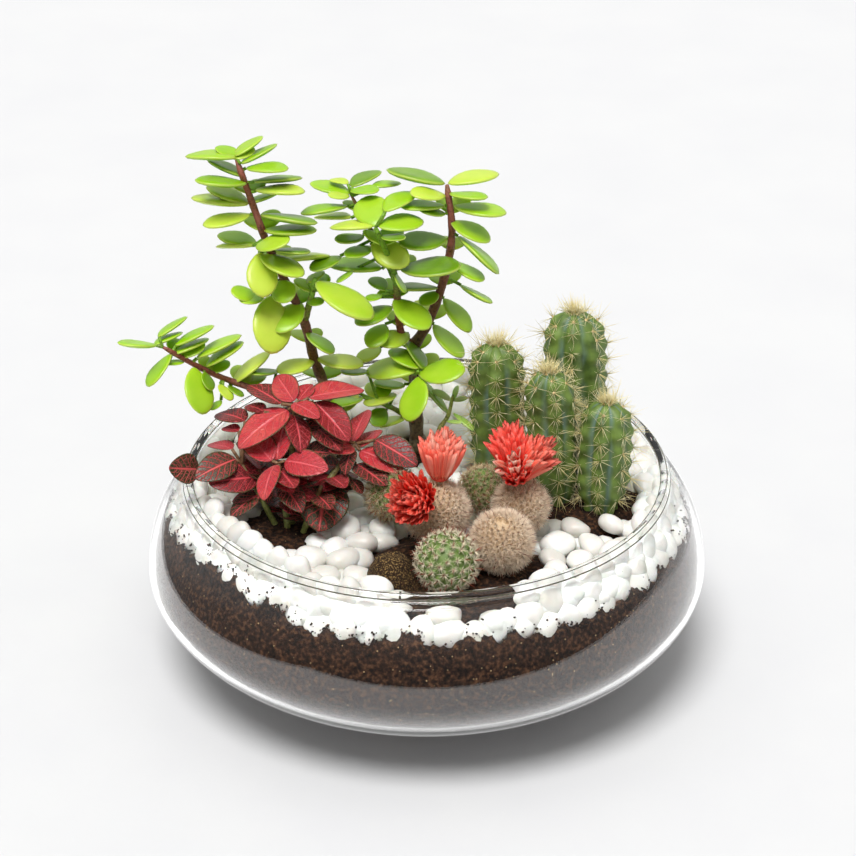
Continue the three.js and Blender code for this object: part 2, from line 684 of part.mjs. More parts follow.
function flowerPetals(flower) {
  const turn = new THREE.Quaternion().setFromUnitVectors(
    new THREE.Vector3(0, 0, 1), point(flower.aim).normalize());
  flower.layers.forEach(({ petals, open, broad, lift }, layer) => {
    for (let i = 0; i < petals; i += 1) {
      const count = FLOWER.layerSeed * layer + i;
      const angle = (i + layer / 2) * 2 * Math.PI / petals;
      const outward = new THREE.Vector3(Math.cos(angle), Math.sin(angle), 0);
      const spread = turnOf(open + either(FLOWER.sway / 2, draw(flower.seed, count)));
      const ahead = outward.clone().multiplyScalar(Math.sin(spread)).setZ(Math.cos(spread));
      const root = outward.clone().multiplyScalar(FLOWER.petalRing).setZ(lift);
      const size = (flower.long - lift) * mix(...FLOWER.petalSizes, draw(flower.seed + 1, count));
      const start = root.applyQuaternion(turn).add(flowerSeat(flower));
      ahead.applyQuaternion(turn);
      const facing = outward.applyQuaternion(turn).negate();
      const shape = blade(PETAL, size, broad, FLOWER.petalThick, FLOWER.petalDish);
      const petal = placedBlade(shape, start, ahead, facing);
      if (isFree(flower.name, petal)) keep(flower.name, petal);
    }
  });
}

// Assembly: the bowl, the ground with a plain hole for each root, then the plants

function nerveCrown(grow) {
  const { x, y, bottom, top, radius, sides } = NERVE_CROWN;
  const long = top - bottom + 2 * grow;
  const stub = new THREE.CylinderGeometry(radius + grow, radius + grow, long, sides);
  return solid(stub.rotateX(Math.PI / 2).translate(x, y, (top + bottom) / 2));
}

const shoots = [...LEFT_BUSH, ...RIGHT_BUSH, ...SPRIG, ...NERVE_PLANT];
const roots = joined([
  ...shoots.map((shoot) => stem(shoot, GAP)),
  ...COLUMNS.map((column) => columnBody(column, GAP)),
  ...HEADS.map((head) => headBody(head, GAP)),
  nerveCrown(GAP),
]);

const room = roomInBowl();
keep('glass_bowl', bowl());
keep('soil', room.intersect(ground(0)).subtract(roots));
keep('pebbles', room.intersect(pebbleBed()).subtract(ground(GAP)).subtract(roots));

const leafy = [
  { name: 'elephant_bush_left', shoots: LEFT_BUSH, outline: BUSH_LEAF, thick: 2.2, dish: 0 },
  { name: 'elephant_bush_right', shoots: RIGHT_BUSH, outline: BUSH_LEAF, thick: 2.2, dish: 0 },
  { name: 'sprig', shoots: SPRIG, outline: BUSH_LEAF, thick: 1.6, dish: 0 },
  { name: 'nerve_plant', shoots: NERVE_PLANT, outline: NERVE_LEAF, thick: 1.5, dish: 1.2 },
];
for (const plant of leafy) {
  for (const shoot of plant.shoots) keep(plant.name, stem(shoot, 0));
}
keep('nerve_plant', nerveCrown(0));
for (const column of COLUMNS) keep(column.name, columnBody(column, 0));
for (const head of HEADS) keep(head.name, headBody(head, 0));
for (const flower of FLOWERS) keep(flower.name, flowerBody(flower));

for (const flower of FLOWERS) flowerPetals(flower);
for (const plant of leafy) {
  for (const shoot of plant.shoots) leafPairs(plant, shoot);
}
for (const column of COLUMNS) columnSpines(column);
for (const head of HEADS) headSpines(head);

const looks = new Map([
  ['glass_bowl', { color: 0xdfe8e6, roughness: 0.02, metalness: 0, transparent: true, opacity: 0.35 }],
  ['soil', { color: 0x3a2619, roughness: 0.95, metalness: 0 }],
  ['pebbles', { color: 0xf5f6f0, roughness: 0.5, metalness: 0 }],
  ['elephant_bush_left', BUSH_GREEN],
  ['elephant_bush_right', BUSH_GREEN],
  ['sprig', { color: 0x8fae3c, roughness: 0.5, metalness: 0 }],
  ['nerve_plant', { color: 0xb53a45, roughness: 0.5, metalness: 0 }],
  ...COLUMNS.map((column) => [column.name, { color: 0x557332, roughness: 0.6, metalness: 0 }]),
  ...HEADS.map((head) => [head.name, { color: head.color, roughness: 0.8, metalness: 0 }]),
  ...FLOWERS.map((flower) => [flower.name, { color: flower.color, roughness: 0.6, metalness: 0 }]),
]);

const terrarium = new THREE.Group();
terrarium.name = 'glass_plant_terrarium';
for (const [name, pieces] of parts) {
  const body = joined(pieces.map((piece) => piece.body));
  const mesh = new THREE.Mesh(geometryOf(body), new THREE.MeshStandardMaterial(looks.get(name)));
  mesh.name = name;
  terrarium.add(mesh);
}

export default terrarium;
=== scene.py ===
"""The looks of a glass plant terrarium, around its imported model. Metres, +Z up, +Y away from the front."""

import math
import random

import bmesh
import bpy
import numpy as np
from mathutils import Matrix, Vector, noise


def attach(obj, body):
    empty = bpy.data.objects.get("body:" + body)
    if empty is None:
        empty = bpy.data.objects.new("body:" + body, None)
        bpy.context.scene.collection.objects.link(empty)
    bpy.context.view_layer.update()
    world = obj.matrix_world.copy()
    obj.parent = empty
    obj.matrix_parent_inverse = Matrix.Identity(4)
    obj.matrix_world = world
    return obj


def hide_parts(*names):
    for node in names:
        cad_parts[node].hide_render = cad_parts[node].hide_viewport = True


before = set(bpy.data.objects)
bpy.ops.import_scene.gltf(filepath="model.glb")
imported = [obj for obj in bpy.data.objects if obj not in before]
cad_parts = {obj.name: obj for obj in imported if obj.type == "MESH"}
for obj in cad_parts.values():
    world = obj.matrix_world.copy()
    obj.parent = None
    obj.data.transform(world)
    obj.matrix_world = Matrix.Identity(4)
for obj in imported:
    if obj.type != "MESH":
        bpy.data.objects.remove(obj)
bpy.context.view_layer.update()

# Camera: a long lens that looks down on the bowl from the front. The plants further down are
# placed by where the photograph shows them, in pixels of its square frame.
MM = 0.001
PICTURE = 856
FOCAL = 3340
SENSOR = 36
eye = Vector((0.5, -1140.3, 722.3)) * MM
aim = Vector((0.5, 0, 98)) * MM
ahead_axis = (aim - eye).normalized()
right_axis = Vector((1, 0, 0))
above_axis = right_axis.cross(ahead_axis)


def sight(x, y):
    """The direction in which a pixel of the picture is seen, one unit deep."""
    return ahead_axis + (right_axis * (x - PICTURE / 2) - above_axis * (y - PICTURE / 2)) / FOCAL


def pixel_of(spot):
    """Where a point is seen: its pixel and its depth."""
    way = spot - eye
    depth = way.dot(ahead_axis)
    return (PICTURE / 2 + FOCAL * way.dot(right_axis) / depth,
            PICTURE / 2 - FOCAL * way.dot(above_axis) / depth, depth)


def add_object(name, data):
    """An object of the scene from its mesh, light or camera."""
    made = bpy.data.objects.new(name, data)
    bpy.context.scene.collection.objects.link(made)
    return made


camera = add_object("camera", bpy.data.cameras.new("camera"))
camera.data.lens = FOCAL * SENSOR / PICTURE
camera.data.sensor_width = SENSOR
camera.data.clip_end = 20
camera.location = eye
camera.rotation_euler = ahead_axis.to_track_quat("-Z", "Y").to_euler()
bpy.context.scene.camera = camera
bpy.context.scene.view_settings.view_transform = "Standard"


# Studio: a white board under a pale tent that is dark near the horizon, and one large soft lamp, far
# off and high in front. Seen directly the tent is white. The shadow is dark close under the bowl and
# ends below the edge of its belly.
FLOOR_HALF = 12
TABLE_LEFT, TABLE_FRONT = -0.25, -0.3       # beyond these the floor doesn't show in the glass
LAMP_WIDE = math.radians(28.4)              # how large the lamp looks from the bowl
LAMP_LIGHT = 2.92
LAMP_PLACE = (-0.4, -0.9, 3)
TENT_LIGHT = 0.7


def srgb(red, green, blue):
    """A colour given from 0 to 255, as shaders take it."""
    shares = [c / 255 for c in (red, green, blue)]
    return (*(s / 12.92 if s <= 0.04045 else ((s + 0.055) / 1.055) ** 2.4 for s in shares), 1)


def add_node(look, kind, inputs=None, **settings):
    """A node with its settings, and its sockets set to values or joined to other sockets."""
    made = look.node_tree.nodes.new("ShaderNode" + kind)
    for key, value in settings.items():
        setattr(made, key, value)
    for socket, value in (inputs or {}).items():
        if isinstance(value, bpy.types.NodeSocket):
            look.node_tree.links.new(value, made.inputs[socket])
        else:
            made.inputs[socket].default_value = value
    return made


def new_look(name, sockets):
    """A material whose shader has these sockets set."""
    look = bpy.data.materials.new(name)
    look.use_nodes = True
    for socket, value in sockets.items():
        look.node_tree.nodes["Principled BSDF"].inputs[socket].default_value = value
    return look


def plug(look, value, socket):
    """Joins a value to a socket of a material's shader."""
    look.node_tree.links.new(value, look.node_tree.nodes["Principled BSDF"].inputs[socket])


def place_of(look):
    """Where a point of the surface is on its own object."""
    return add_node(look, "TexCoord").outputs["Object"]


def grain(look, size, detail=3):
    """Noise from 0 to 1 whose patches are about this many millimetres."""
    inputs = {"Vector": place_of(look), "Scale": 1 / (size * MM), "Detail": detail}
    return add_node(look, "TexNoise", inputs).outputs["Fac"]


def worked(look, operation, *values):
    """The result of a step of arithmetic in a material."""
    return add_node(look, "Math", dict(enumerate(values)), operation=operation).outputs[0]


def ramp(look, share, stops):
    """A colour read from stops along a share."""
    band = add_node(look, "ValToRGB", {0: share})
    elements = band.color_ramp.elements
    while len(elements) < len(stops):
        elements.new(1)
    for element, (place, colour) in zip(elements, stops):
        element.position = place
        element.color = colour
    return band.outputs["Color"]


def shades(look, share, *stops):
    """A colour along a share, from stops that have a place, red, green and blue."""
    return ramp(look, share, [(place, srgb(*colour)) for place, *colour in stops])


def levels(look, share, *stops):
    """A level of light along a share, from stops that have a place and one number, or three."""
    return ramp(look, share, [(place, (*(level * 3)[:3], 1)) for place, *level in stops])


world = bpy.data.worlds.new("tent")
bpy.context.scene.world = world
world.use_nodes = True
tent = world.node_tree.nodes["Background"]
sky = add_node(world, "SeparateXYZ", {0: add_node(world, "TexCoord").outputs["Generated"]})
behind = worked(world, "MULTIPLY_ADD", sky.outputs["Y"], 0.2, 0.5)
overhead = worked(world, "MULTIPLY_ADD", sky.outputs["Z"], 0.5, behind)
tent_colour = levels(world, overhead, (0.3, 0.04, 0.04, 0.041), (0.5, 0.22, 0.22, 0.222),
                     (0.62, 0.6), (0.85, 1))
world.node_tree.links.new(tent_colour, tent.inputs["Color"])
tent.inputs["Strength"].default_value = TENT_LIGHT
backdrop = add_node(world, "Background", {"Color": srgb(247, 247, 247)})
seen_directly = add_node(world, "LightPath").outputs["Is Camera Ray"]
backed = add_node(world, "MixShader", {0: seen_directly, 1: tent.outputs[0], 2: backdrop.outputs[0]})
world.node_tree.links.new(backed.outputs[0], world.node_tree.nodes["World Output"].inputs[0])

lamp = add_object("lamp", bpy.data.lights.new("lamp", "SUN"))
lamp.data.angle = LAMP_WIDE
lamp.data.energy = LAMP_LIGHT
lamp.location = LAMP_PLACE
lamp.rotation_euler = (-lamp.location).to_track_quat("-Z", "Y").to_euler()

# Three bright cards that the camera doesn't see: one lies on the floor under the bowl and to its
# right, one stands at the right and one behind on the left. They light nothing but show in the glass,
# and the one on the floor veils its lower half up to a sharp edge.
CARDS = [
    # middle x, y and z, width, depth, glow, tilt about X and turn about Z in degrees
    ((0.475, -0.06, 0.0004), 1.45, 0.48, 0.5, (180, 0)),
    ((0.9, 0.575, 0.3), 1.85, 0.9, 0.9, (90, -90)),
    ((-0.75, 1.15, 0.3), 1.0, 0.9, 0.45, (90, 40)),
]
for number, (middle, width, depth, glow, (tilt, turn)) in enumerate(CARDS):
    card = add_object(f"card_{number}", bpy.data.lights.new(f"card_{number}", "AREA"))
    card.data.shape = "RECTANGLE"
    card.data.size, card.data.size_y = width, depth
    card.data.energy = glow * math.pi * width * depth
    card.location = middle
    card.rotation_euler = (math.radians(tilt), 0, math.radians(turn))
    card.visible_camera = False
    card.visible_diffuse = False


def new_shape(bm, name):
    """A mesh from a finished one, which is used up."""
    shape = bpy.data.meshes.new(name)
    bm.to_mesh(shape)
    bm.free()
    return shape


floor_look = new_look("white_board", {"Roughness": 0.6})
board = shades(floor_look, grain(floor_look, 60), (0.3, 209, 209, 210), (0.7, 212, 212, 212))
plug(floor_look, board, "Base Color")
FLOORS = [
    # name, left, right, near and far edge
    ("floor", TABLE_LEFT, FLOOR_HALF, TABLE_FRONT, FLOOR_HALF),
    ("floor_near", TABLE_LEFT, FLOOR_HALF, -FLOOR_HALF, TABLE_FRONT),
    ("floor_left", -FLOOR_HALF, TABLE_LEFT, -FLOOR_HALF, FLOOR_HALF),
]
for name, left, right, near, far in FLOORS:
    floor_bm = bmesh.new()
    spread = (Matrix.Translation(((left + right) / 2, (near + far) / 2, 0))
              @ Matrix.Diagonal(((right - left) / 2, (far - near) / 2, 1, 1)))
    bmesh.ops.create_grid(floor_bm, x_segments=1, y_segments=1, size=1, matrix=spread)
    floor = add_object(name, new_shape(floor_bm, name))
    floor.data.materials.append(floor_look)
    floor.visible_glossy = floor.visible_transmission = name == "floor"


# Bowl: one piece of clear blown glass with a flat foot, a wide belly and a wall that leans in to a
# thick round bead at the lip. It was turned while it was blown, so it is spun here.
BOWL_HEIGHT = 80
BEAD = 2.0               # radius of the bead
LIP = 3.5                # how far below the top the wall runs into the bead
BELLY = 110
OUTSIDE = (BELLY, 40, 38, 0, 94.4, 1.8)       # belly radius, its height, foot, base, mouth, fullness
INSIDE = (108.2, 40, 38, 2.6, 92.2, 1.8)
LOWER_RINGS = 30
UPPER_RINGS = 14
BEAD_RINGS = 16
TURNS = 192


def wall_line(belly, belly_at, foot, base, mouth, full, inset=0):
    """Radii and heights up a side of the glass, or this far inside it."""
    belly, foot, base, mouth = belly - inset, foot - inset, base + inset, mouth - inset
    line = []
    for ring in range(LOWER_RINGS + 1):
        angle = ring / LOWER_RINGS * math.pi / 2
        out = math.sin(angle) ** (2 / full)
        down = max(math.cos(angle), 0) ** (2 / full)
        line.append((foot + (belly - foot) * out, belly_at + (base - belly_at) * down))
    lean, climb = belly - mouth, BOWL_HEIGHT - LIP - belly_at
    arc = (lean * lean + climb * climb) / (2 * lean)
    for ring in range(1, UPPER_RINGS + 1):
        rise = climb * ring / UPPER_RINGS
        line.append((belly - arc + math.sqrt(arc * arc - rise * rise), belly_at + rise))
    return line


def spin_line(bm, line, turns):
    """Turns a line of radii and heights into a closed solid about the upright axis."""
    spots = [bm.verts.new((radius * MM, 0, height * MM)) for radius, height in line]
    edges = [bm.edges.new(pair) for pair in zip(spots, spots[1:])]
    bmesh.ops.spin(bm, geom=spots + edges, cent=(0, 0, 0), axis=(0, 0, 1), angle=2 * math.pi,
                   steps=turns, use_merge=True)
    bmesh.ops.remove_doubles(bm, verts=bm.verts, dist=1e-6)
    bmesh.ops.recalc_face_normals(bm, faces=bm.faces)


def place_piece(name, bm, slot, node, *looks):
    """A smooth piece of the object from a finished mesh, which stands for a node."""
    piece = add_object(name, new_shape(bm, name))
    for look in looks:
        piece.data.materials.append(look)
    piece.data.shade_smooth()
    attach(piece, "root")
    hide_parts(node)


outer_line = wall_line(*OUTSIDE)
inner_line = wall_line(*INSIDE)
bead_middle = (outer_line[-1][0] + inner_line[-1][0]) / 2
bead_start = math.asin((BEAD - LIP) / BEAD)
lip_line = []
for ring in range(1, BEAD_RINGS):
    angle = bead_start + ring / BEAD_RINGS * (math.pi - 2 * bead_start)
    lip_line.append((bead_middle + BEAD * math.cos(angle), BOWL_HEIGHT - BEAD + BEAD * math.sin(angle)))
bowl_bm = bmesh.new()
spin_line(bowl_bm, [(0, 0), *outer_line, *lip_line, *inner_line[::-1], (0, INSIDE[3])], TURNS)

glass_look = new_look("clear_glass", {
    "Base Color": (0.99, 0.992, 0.99, 1), "Roughness": 0.0, "IOR": 1.5, "Transmission Weight": 1.0,
})
shadow_ray = add_node(glass_look, "LightPath").outputs["Is Shadow Ray"]
let_through = add_node(glass_look, "BsdfTransparent", {"Color": (0.95, 0.95, 0.95, 1)})
glass_shader = glass_look.node_tree.nodes["Principled BSDF"]
pane = add_node(glass_look, "MixShader", {0: shadow_ray, 1: glass_shader.outputs[0],
                                          2: let_through.outputs[0]})
glass_look.node_tree.links.new(pane.outputs[0], glass_look.node_tree.nodes["Material Output"].inputs[0])
place_piece("blown_bowl", bowl_bm, "clear_glass", "glass_bowl", glass_look)

# Painted reflection: opaque dark rings on the bead stand in for the dark lines that the lip refracts.
PAINTED_RIM_LINES = [
    # angle round the bead from the outside up, thickness: where a dark line is painted on the bead
    (math.radians(-12), 0.3), (math.radians(68), 0.2), (math.radians(150), 0.22),
]
EDGE_SIDES = 6
edge_bm = bmesh.new()
for angle, thick in PAINTED_RIM_LINES:
    around = [angle + step / EDGE_SIDES * 2 * math.pi for step in range(EDGE_SIDES + 1)]
    spin_line(edge_bm, [(bead_middle + BEAD * math.cos(angle) + thick * math.cos(turn),
                         BOWL_HEIGHT - BEAD + BEAD * math.sin(angle) + thick * math.sin(turn))
                        for turn in around], TURNS)
# Dark opaque finish of the painted reflection lines on the lip, not tinted glass.
painted_rim_look = new_look("painted_rim_lines", {"Base Color": srgb(86, 84, 68), "Roughness": 0.15})
place_piece("painted_rim_lines", edge_bm, "clear_glass", "glass_bowl", painted_rim_look)


# Potting mix: dark crumbly peat with bits of fibre and white grit. It fills the bowl to 62 mm at
# the glass, where its edge is ragged and banked up at the front left, and it rises in low mounds
# round the roots.
MIX_LEVEL = 62
MIX_GAP = 0.3
MIX_TURNS = 420
MIX_TOP_RINGS = 44
CRUMB_WIDE, CLOD_WIDE = 2.2, 7
CRUMB_HIGH, CLOD_HIGH = 1.4, 1.6
CRUMB_DEEP = 1.6         # how far the side falls back from the glass between crumbs
RAGGED = 6.5             # how far the edge at the glass strays up
EDGE_LOW = -1.5          # how far it may fall
EDGE_WIDE = 5
BANK = (math.radians(-142), math.radians(26), 7.5)     # turn of its middle, half width, rise
LOOSE_CRUMBS = 1500
CRUMB_STRAY = 1.5        # how far above the edge they lie on average
CRUMB_SIZES = (0.15, 0.6)
MOUNDS = [
    # middle x and y, half widths along x and y, rise
    (12, -56, 38, 32, 10),       # under the pincushion cacti
    (-13, -69, 11, 11, 19),      # lump of mix left of the front ball
    (-57, -29, 24, 22, 9.5),     # round the nerve plant
    (60, -5, 32, 30, 10),        # round the column cacti
    (27, 9, 20, 18, 8),          # round the left column
    (-3, 32, 24, 20, 8.5),       # round the trunk
    (-38, 18, 20, 18, 8.5),      # round the left stem
]


def mix_height(x, y):
    """Height of the mix, in millimetres."""
    rise = 0
    for middle_x, middle_y, half_x, half_y, top in MOUNDS:
        away = ((x - middle_x) / half_x) ** 2 + ((y - middle_y) / half_y) ** 2
        rise = max(rise, top * math.exp(-away * away))
    return MIX_LEVEL + rise


def placing_at(spot, turns, sizes):
    """Where a shape goes: sized, turned by angles about axes, last one first, then set on a spot."""
    placing = Matrix.Translation(Vector(spot) * MM)
    for angle, axis in turns:
        placing = placing @ Matrix.Rotation(angle, 4, axis)
    return placing @ Matrix.Diagonal((*sizes, 1))


def inner_radius(height):
    """Radius of the room in the bowl at a height."""
    return float(np.interp(height, [z for radius, z in inner_line], [radius for radius, z in inner_line]))


def bank_rise(turn):
    """How far the edge of the mix is banked up at a turn."""
    middle, half, rise = BANK
    away = math.remainder(turn - middle, 2 * math.pi) / half
    return rise * math.exp(-away * away)


def add_copy(bm, shape, placing, **values):
    """A moved copy of a shape in a mesh, with its own values on its points."""
    copied = shape.copy()
    copied.transform(placing)
    for name, value in values.items():
        spread = copied.attributes.get(name) or copied.attributes.new(name, "FLOAT", "POINT")
        spread.data.foreach_set("value", [value] * len(copied.vertices))
    bm.from_mesh(copied)
    bpy.data.meshes.remove(copied)


def edge_rise(x, y):
    """How far the ragged edge of the mix strays up at a place by the glass."""
    ragged = noise.noise(Vector((x, y, 0)) / 9) + 0.7 * noise.noise(Vector((x, y, 50)) / 2.6)
    return RAGGED * ragged + bank_rise(math.atan2(y, x))


mix_side = [(radius, height) for radius, height in wall_line(*INSIDE, MIX_GAP) if height < MIX_LEVEL]
mix_edge = mix_side[-1][0]
halfway = [((a + c) / 2, (b + d) / 2) for (a, b), (c, d) in zip(mix_side, mix_side[1:])]
mix_side = [spot for pair in zip(mix_side, halfway) for spot in pair] + mix_side[-1:]
mix_top = [(mix_edge * (1 - ring / MIX_TOP_RINGS), MIX_LEVEL) for ring in range(MIX_TOP_RINGS + 1)]
mix_bm = bmesh.new()
spin_line(mix_bm, [(0, INSIDE[3] + MIX_GAP), *mix_side, *mix_top], MIX_TURNS)
golden_layer = mix_bm.verts.layers.float.new("golden")
_, (lump_x, lump_y, lump_wide, *_), *_ = MOUNDS
for vert in mix_bm.verts:
    x, y, z = vert.co / MM
    crumb = 0.5 + 0.5 * noise.noise(Vector((x, y, z)) / CRUMB_WIDE)
    clod = 0.5 + 0.5 * noise.noise(Vector((x, y, z)) / CLOD_WIDE + Vector((9, 0, 0)))
    if z > MIX_LEVEL - 0.5:
        z = mix_height(x, y) + CLOD_HIGH * (clod - 0.5) + CRUMB_HIGH * (crumb - 0.5)
        edge = max(0, 1 - (mix_edge - math.hypot(x, y)) / EDGE_WIDE)
        z = max(z + edge * edge_rise(x, y), MIX_LEVEL + EDGE_LOW)
        inward = min(1, (inner_radius(z) - 2 * MIX_GAP) / max(math.hypot(x, y), 1))
    else:
        inward = 1 - CRUMB_DEEP * crumb * clod / max(math.hypot(x, y), 20)
    vert[golden_layer] = math.exp(-((x - lump_x) ** 2 + (y - lump_y) ** 2) / lump_wide ** 2)
    vert.co = Vector((x * inward, y * inward, z)) * MM
random.seed(3)
crumb_bm = bmesh.new()
bmesh.ops.create_icosphere(crumb_bm, subdivisions=1, radius=MM)
for vert in crumb_bm.verts:
    vert.co *= 1 + 0.6 * noise.noise(vert.co / (0.9 * MM))
crumb_shape = new_shape(crumb_bm, "crumb")
for number in range(LOOSE_CRUMBS):
    turn = random.uniform(0, 2 * math.pi)
    size = random.uniform(*CRUMB_SIZES)
    edge = edge_rise(mix_edge * math.cos(turn), mix_edge * math.sin(turn))
    z = MIX_LEVEL + max(edge, EDGE_LOW) + random.expovariate(1 / CRUMB_STRAY) - 0.5
    out = inner_radius(z) - size
    placing = placing_at((out * math.cos(turn), out * math.sin(turn), z),
                         [(random.uniform(0, math.pi), "Z"), (turn, "X")],
                         (size, size * random.uniform(0.6, 1), size * random.uniform(0.7, 1.4)))
    add_copy(mix_bm, crumb_shape, placing)


def stored(look, name):
    """A number that the points of the mesh carry."""
    return add_node(look, "Attribute", attribute_name=name).outputs["Fac"]


def mixed(look, share, one, other, blend="MIX"):
    """A colour between two colours, or one laid over the other."""
    inputs = {0: share, 6: one, 7: other}
    return add_node(look, "Mix", inputs, data_type="RGBA", blend_type=blend).outputs[2]


def surface(look, colour, height, deep):
    """Colours a material, and raises it by up to this many millimetres where a value is high."""
    plug(look, colour, "Base Color")
    bump = add_node(look, "Bump", {"Height": height, "Distance": deep * MM, "Strength": 1})
    plug(look, bump.outputs["Normal"], "Normal")


mix_look = new_look("potting_mix", {"Roughness": 0.95, "Specular IOR Level": 0.25})
peat = shades(mix_look, grain(mix_look, 1.6, 4), (0.32, 15, 9, 6), (0.5, 44, 27, 17), (0.7, 92, 62, 40))
golden = stored(mix_look, "golden")
fibre = shades(mix_look, grain(mix_look, 0.55, 3), (0.52, 44, 32, 20), (0.64, 168, 136, 84))
peat = mixed(mix_look, golden, peat, fibre)
fleck = add_node(mix_look, "TexVoronoi", {"Vector": place_of(mix_look), "Scale": 620, "Randomness": 1})
fleck_share = levels(mix_look, fleck.outputs["Distance"], (0.12, 1), (0.2, 0))
rare = levels(mix_look, fleck.outputs["Color"], (0.72, 0), (0.8, 1))
fleck_on = worked(mix_look, "MULTIPLY", fleck_share, rare)
mix_colour = mixed(mix_look, fleck_on, peat, srgb(190, 160, 112))
surface(mix_look, mix_colour, grain(mix_look, 1.1, 5), 1.0)
place_piece("peat", mix_bm, "potting_mix", "soil", mix_look)


# Pebbles: polished white stones 11 to 14 mm long, poured round the plants. The upper ones lie in
# loose rows and follow the ground, others show in the gaps between them, and the outermost lean
# on the glass, where their lower edge is ragged.
STONE = (7.2, 6.3, 4.6)         # half lengths of the largest
SMALLEST = 0.78
STONE_TILT = 20
STONE_PITCH = (12.5, 10.8)
STONE_UNEVEN = (7, 1.0)         # how wide and how deep its humps are
STRAY = 0.4                     # share of a pitch that a stone may stray over
CLIMB = 4                       # how far the pebbles follow a mound
LAYERS = [
    # seed of the rule, shift in pitches, heights of the stones' middles over the ground, fineness
    (17, 0.5, (2.2, 3.4), 2), (7, 0, (5.7, 7.3), 3),
]
ROOM = 0.93                     # share of its half length that a stone keeps from the glass
PUSHED = 5                      # how far a stone is pushed in from the glass before it is left out
WALL_ROWS = [
    # height of a row at the glass, half its gap in front
    (63.0, 0.0), (68, 0.16), (72.5, 0.3),
]
WALL_GAP = 1.53 * math.pi       # where the middle of the gap is
WALL_PITCH = 1.62               # in half lengths of a stone
WALL_STRAY = 1.8
WALL_LEAN = 1.1
BARE = [
    # middle x and y, half widths along x and y
    (12, -57, 35, 28), (-57, -29, 18, 16), (64, -9, 22, 20), (31, 6, 15, 12), (-2, 29, 14, 11),
    (-38, 17, 9, 8), (14, -84, 24, 12),
]


def draw(seed, count):
    """A number from 0 to 1 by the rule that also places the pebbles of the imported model."""
    wave = math.sin(seed * 127.1 + count * 311.7) * 43758.5453
    return wave - math.floor(wave)


def between(low, high, share):
    """A value part of the way between two."""
    return low + (high - low) * share


def uneven(spot, wide, deep):
    """How far an uneven surface strays at a spot, in humps this wide and deep in millimetres."""
    return noise.noise_vector(spot / (wide * MM)) * deep * MM


def is_bare(x, y):
    """True where the ground is left bare round the plants."""
    return any(((x - a) / c) ** 2 + ((y - b) / d) ** 2 < 1 for a, b, c, d in BARE)


bed_bm = bmesh.new()
pitch, row_pitch = STONE_PITCH
reach = math.ceil(BELLY / pitch)
for lot, shift, heights, fineness in LAYERS:
    stone_bm = bmesh.new()
    bmesh.ops.create_icosphere(stone_bm, subdivisions=fineness, radius=MM)
    stone_shape = new_shape(stone_bm, "stone")
    count = 0
    for row in range(-reach, reach + 1):
        for step in range(-reach, reach + 1):
            count += 1
            x = (step + shift + math.fmod(row, 2) / 2 + STRAY * (draw(lot, count) - 0.5)) * pitch
            y = (row + 0.67 * shift + STRAY * (draw(lot + 1, count) - 0.5)) * row_pitch
            z = min(mix_height(x, y), MIX_LEVEL + CLIMB) + between(*heights, draw(lot + 2, count))
            size = between(SMALLEST, 1, draw(3, count))
            room = inner_radius(z) - ROOM * STONE[0] * size - 0.5
            out = math.hypot(x, y)
            if out > BELLY or is_bare(x, y) or out > room + PUSHED:
                continue
            if out > room:
                x, y = x * room / out, y * room / out
            tilt = math.radians(STONE_TILT * (2 * draw(4, count) - 1))
            placing = placing_at((x, y, z), [(2 * math.pi * draw(5, count), "Z"), (tilt, "X")],
                                 [half * size for half in STONE])
            add_copy(bed_bm, stone_shape, placing, tone=draw(6, count))
random.seed(11)
for height, missing in WALL_ROWS:
    turn = random.random()
    while turn < 2 * math.pi:
        size = random.uniform(SMALLEST, 1)
        half, narrow, thick = (half * size for half in STONE)
        turn += WALL_PITCH * half / BELLY
        if abs(turn - WALL_GAP) < missing:
            continue
        z = height + 0.8 * bank_rise(turn) + random.uniform(-WALL_STRAY, WALL_STRAY)
        out = inner_radius(z) - thick - 0.8
        placing = placing_at((out * math.cos(turn), out * math.sin(turn), z),
                             [(turn, "Z"), (WALL_LEAN, "Y"), (random.uniform(0, math.pi), "Z")],
                             (half, narrow, thick))
        add_copy(bed_bm, stone_shape, placing, tone=random.random())
noise.seed_set(11)
for vert in bed_bm.verts:
    vert.co += uneven(vert.co, *STONE_UNEVEN)

stone_look = new_look("white_stone", {"Roughness": 0.38, "Subsurface Weight": 0.12,
                                      "Subsurface Scale": 0.004})
tone = stored(stone_look, "tone")
stone_white = shades(stone_look, tone, (0.0, 216, 213, 206), (0.35, 232, 230, 225), (1.0, 242, 241, 238))
cloud = shades(stone_look, grain(stone_look, 5), (0.35, 255, 255, 255), (0.7, 244, 243, 238))
stone_colour = mixed(stone_look, 1.0, stone_white, cloud, "MULTIPLY")
surface(stone_look, stone_colour, grain(stone_look, 1.5), 0.06)
place_piece("white_stones", bed_bm, "white_pebbles", "pebbles", stone_look)
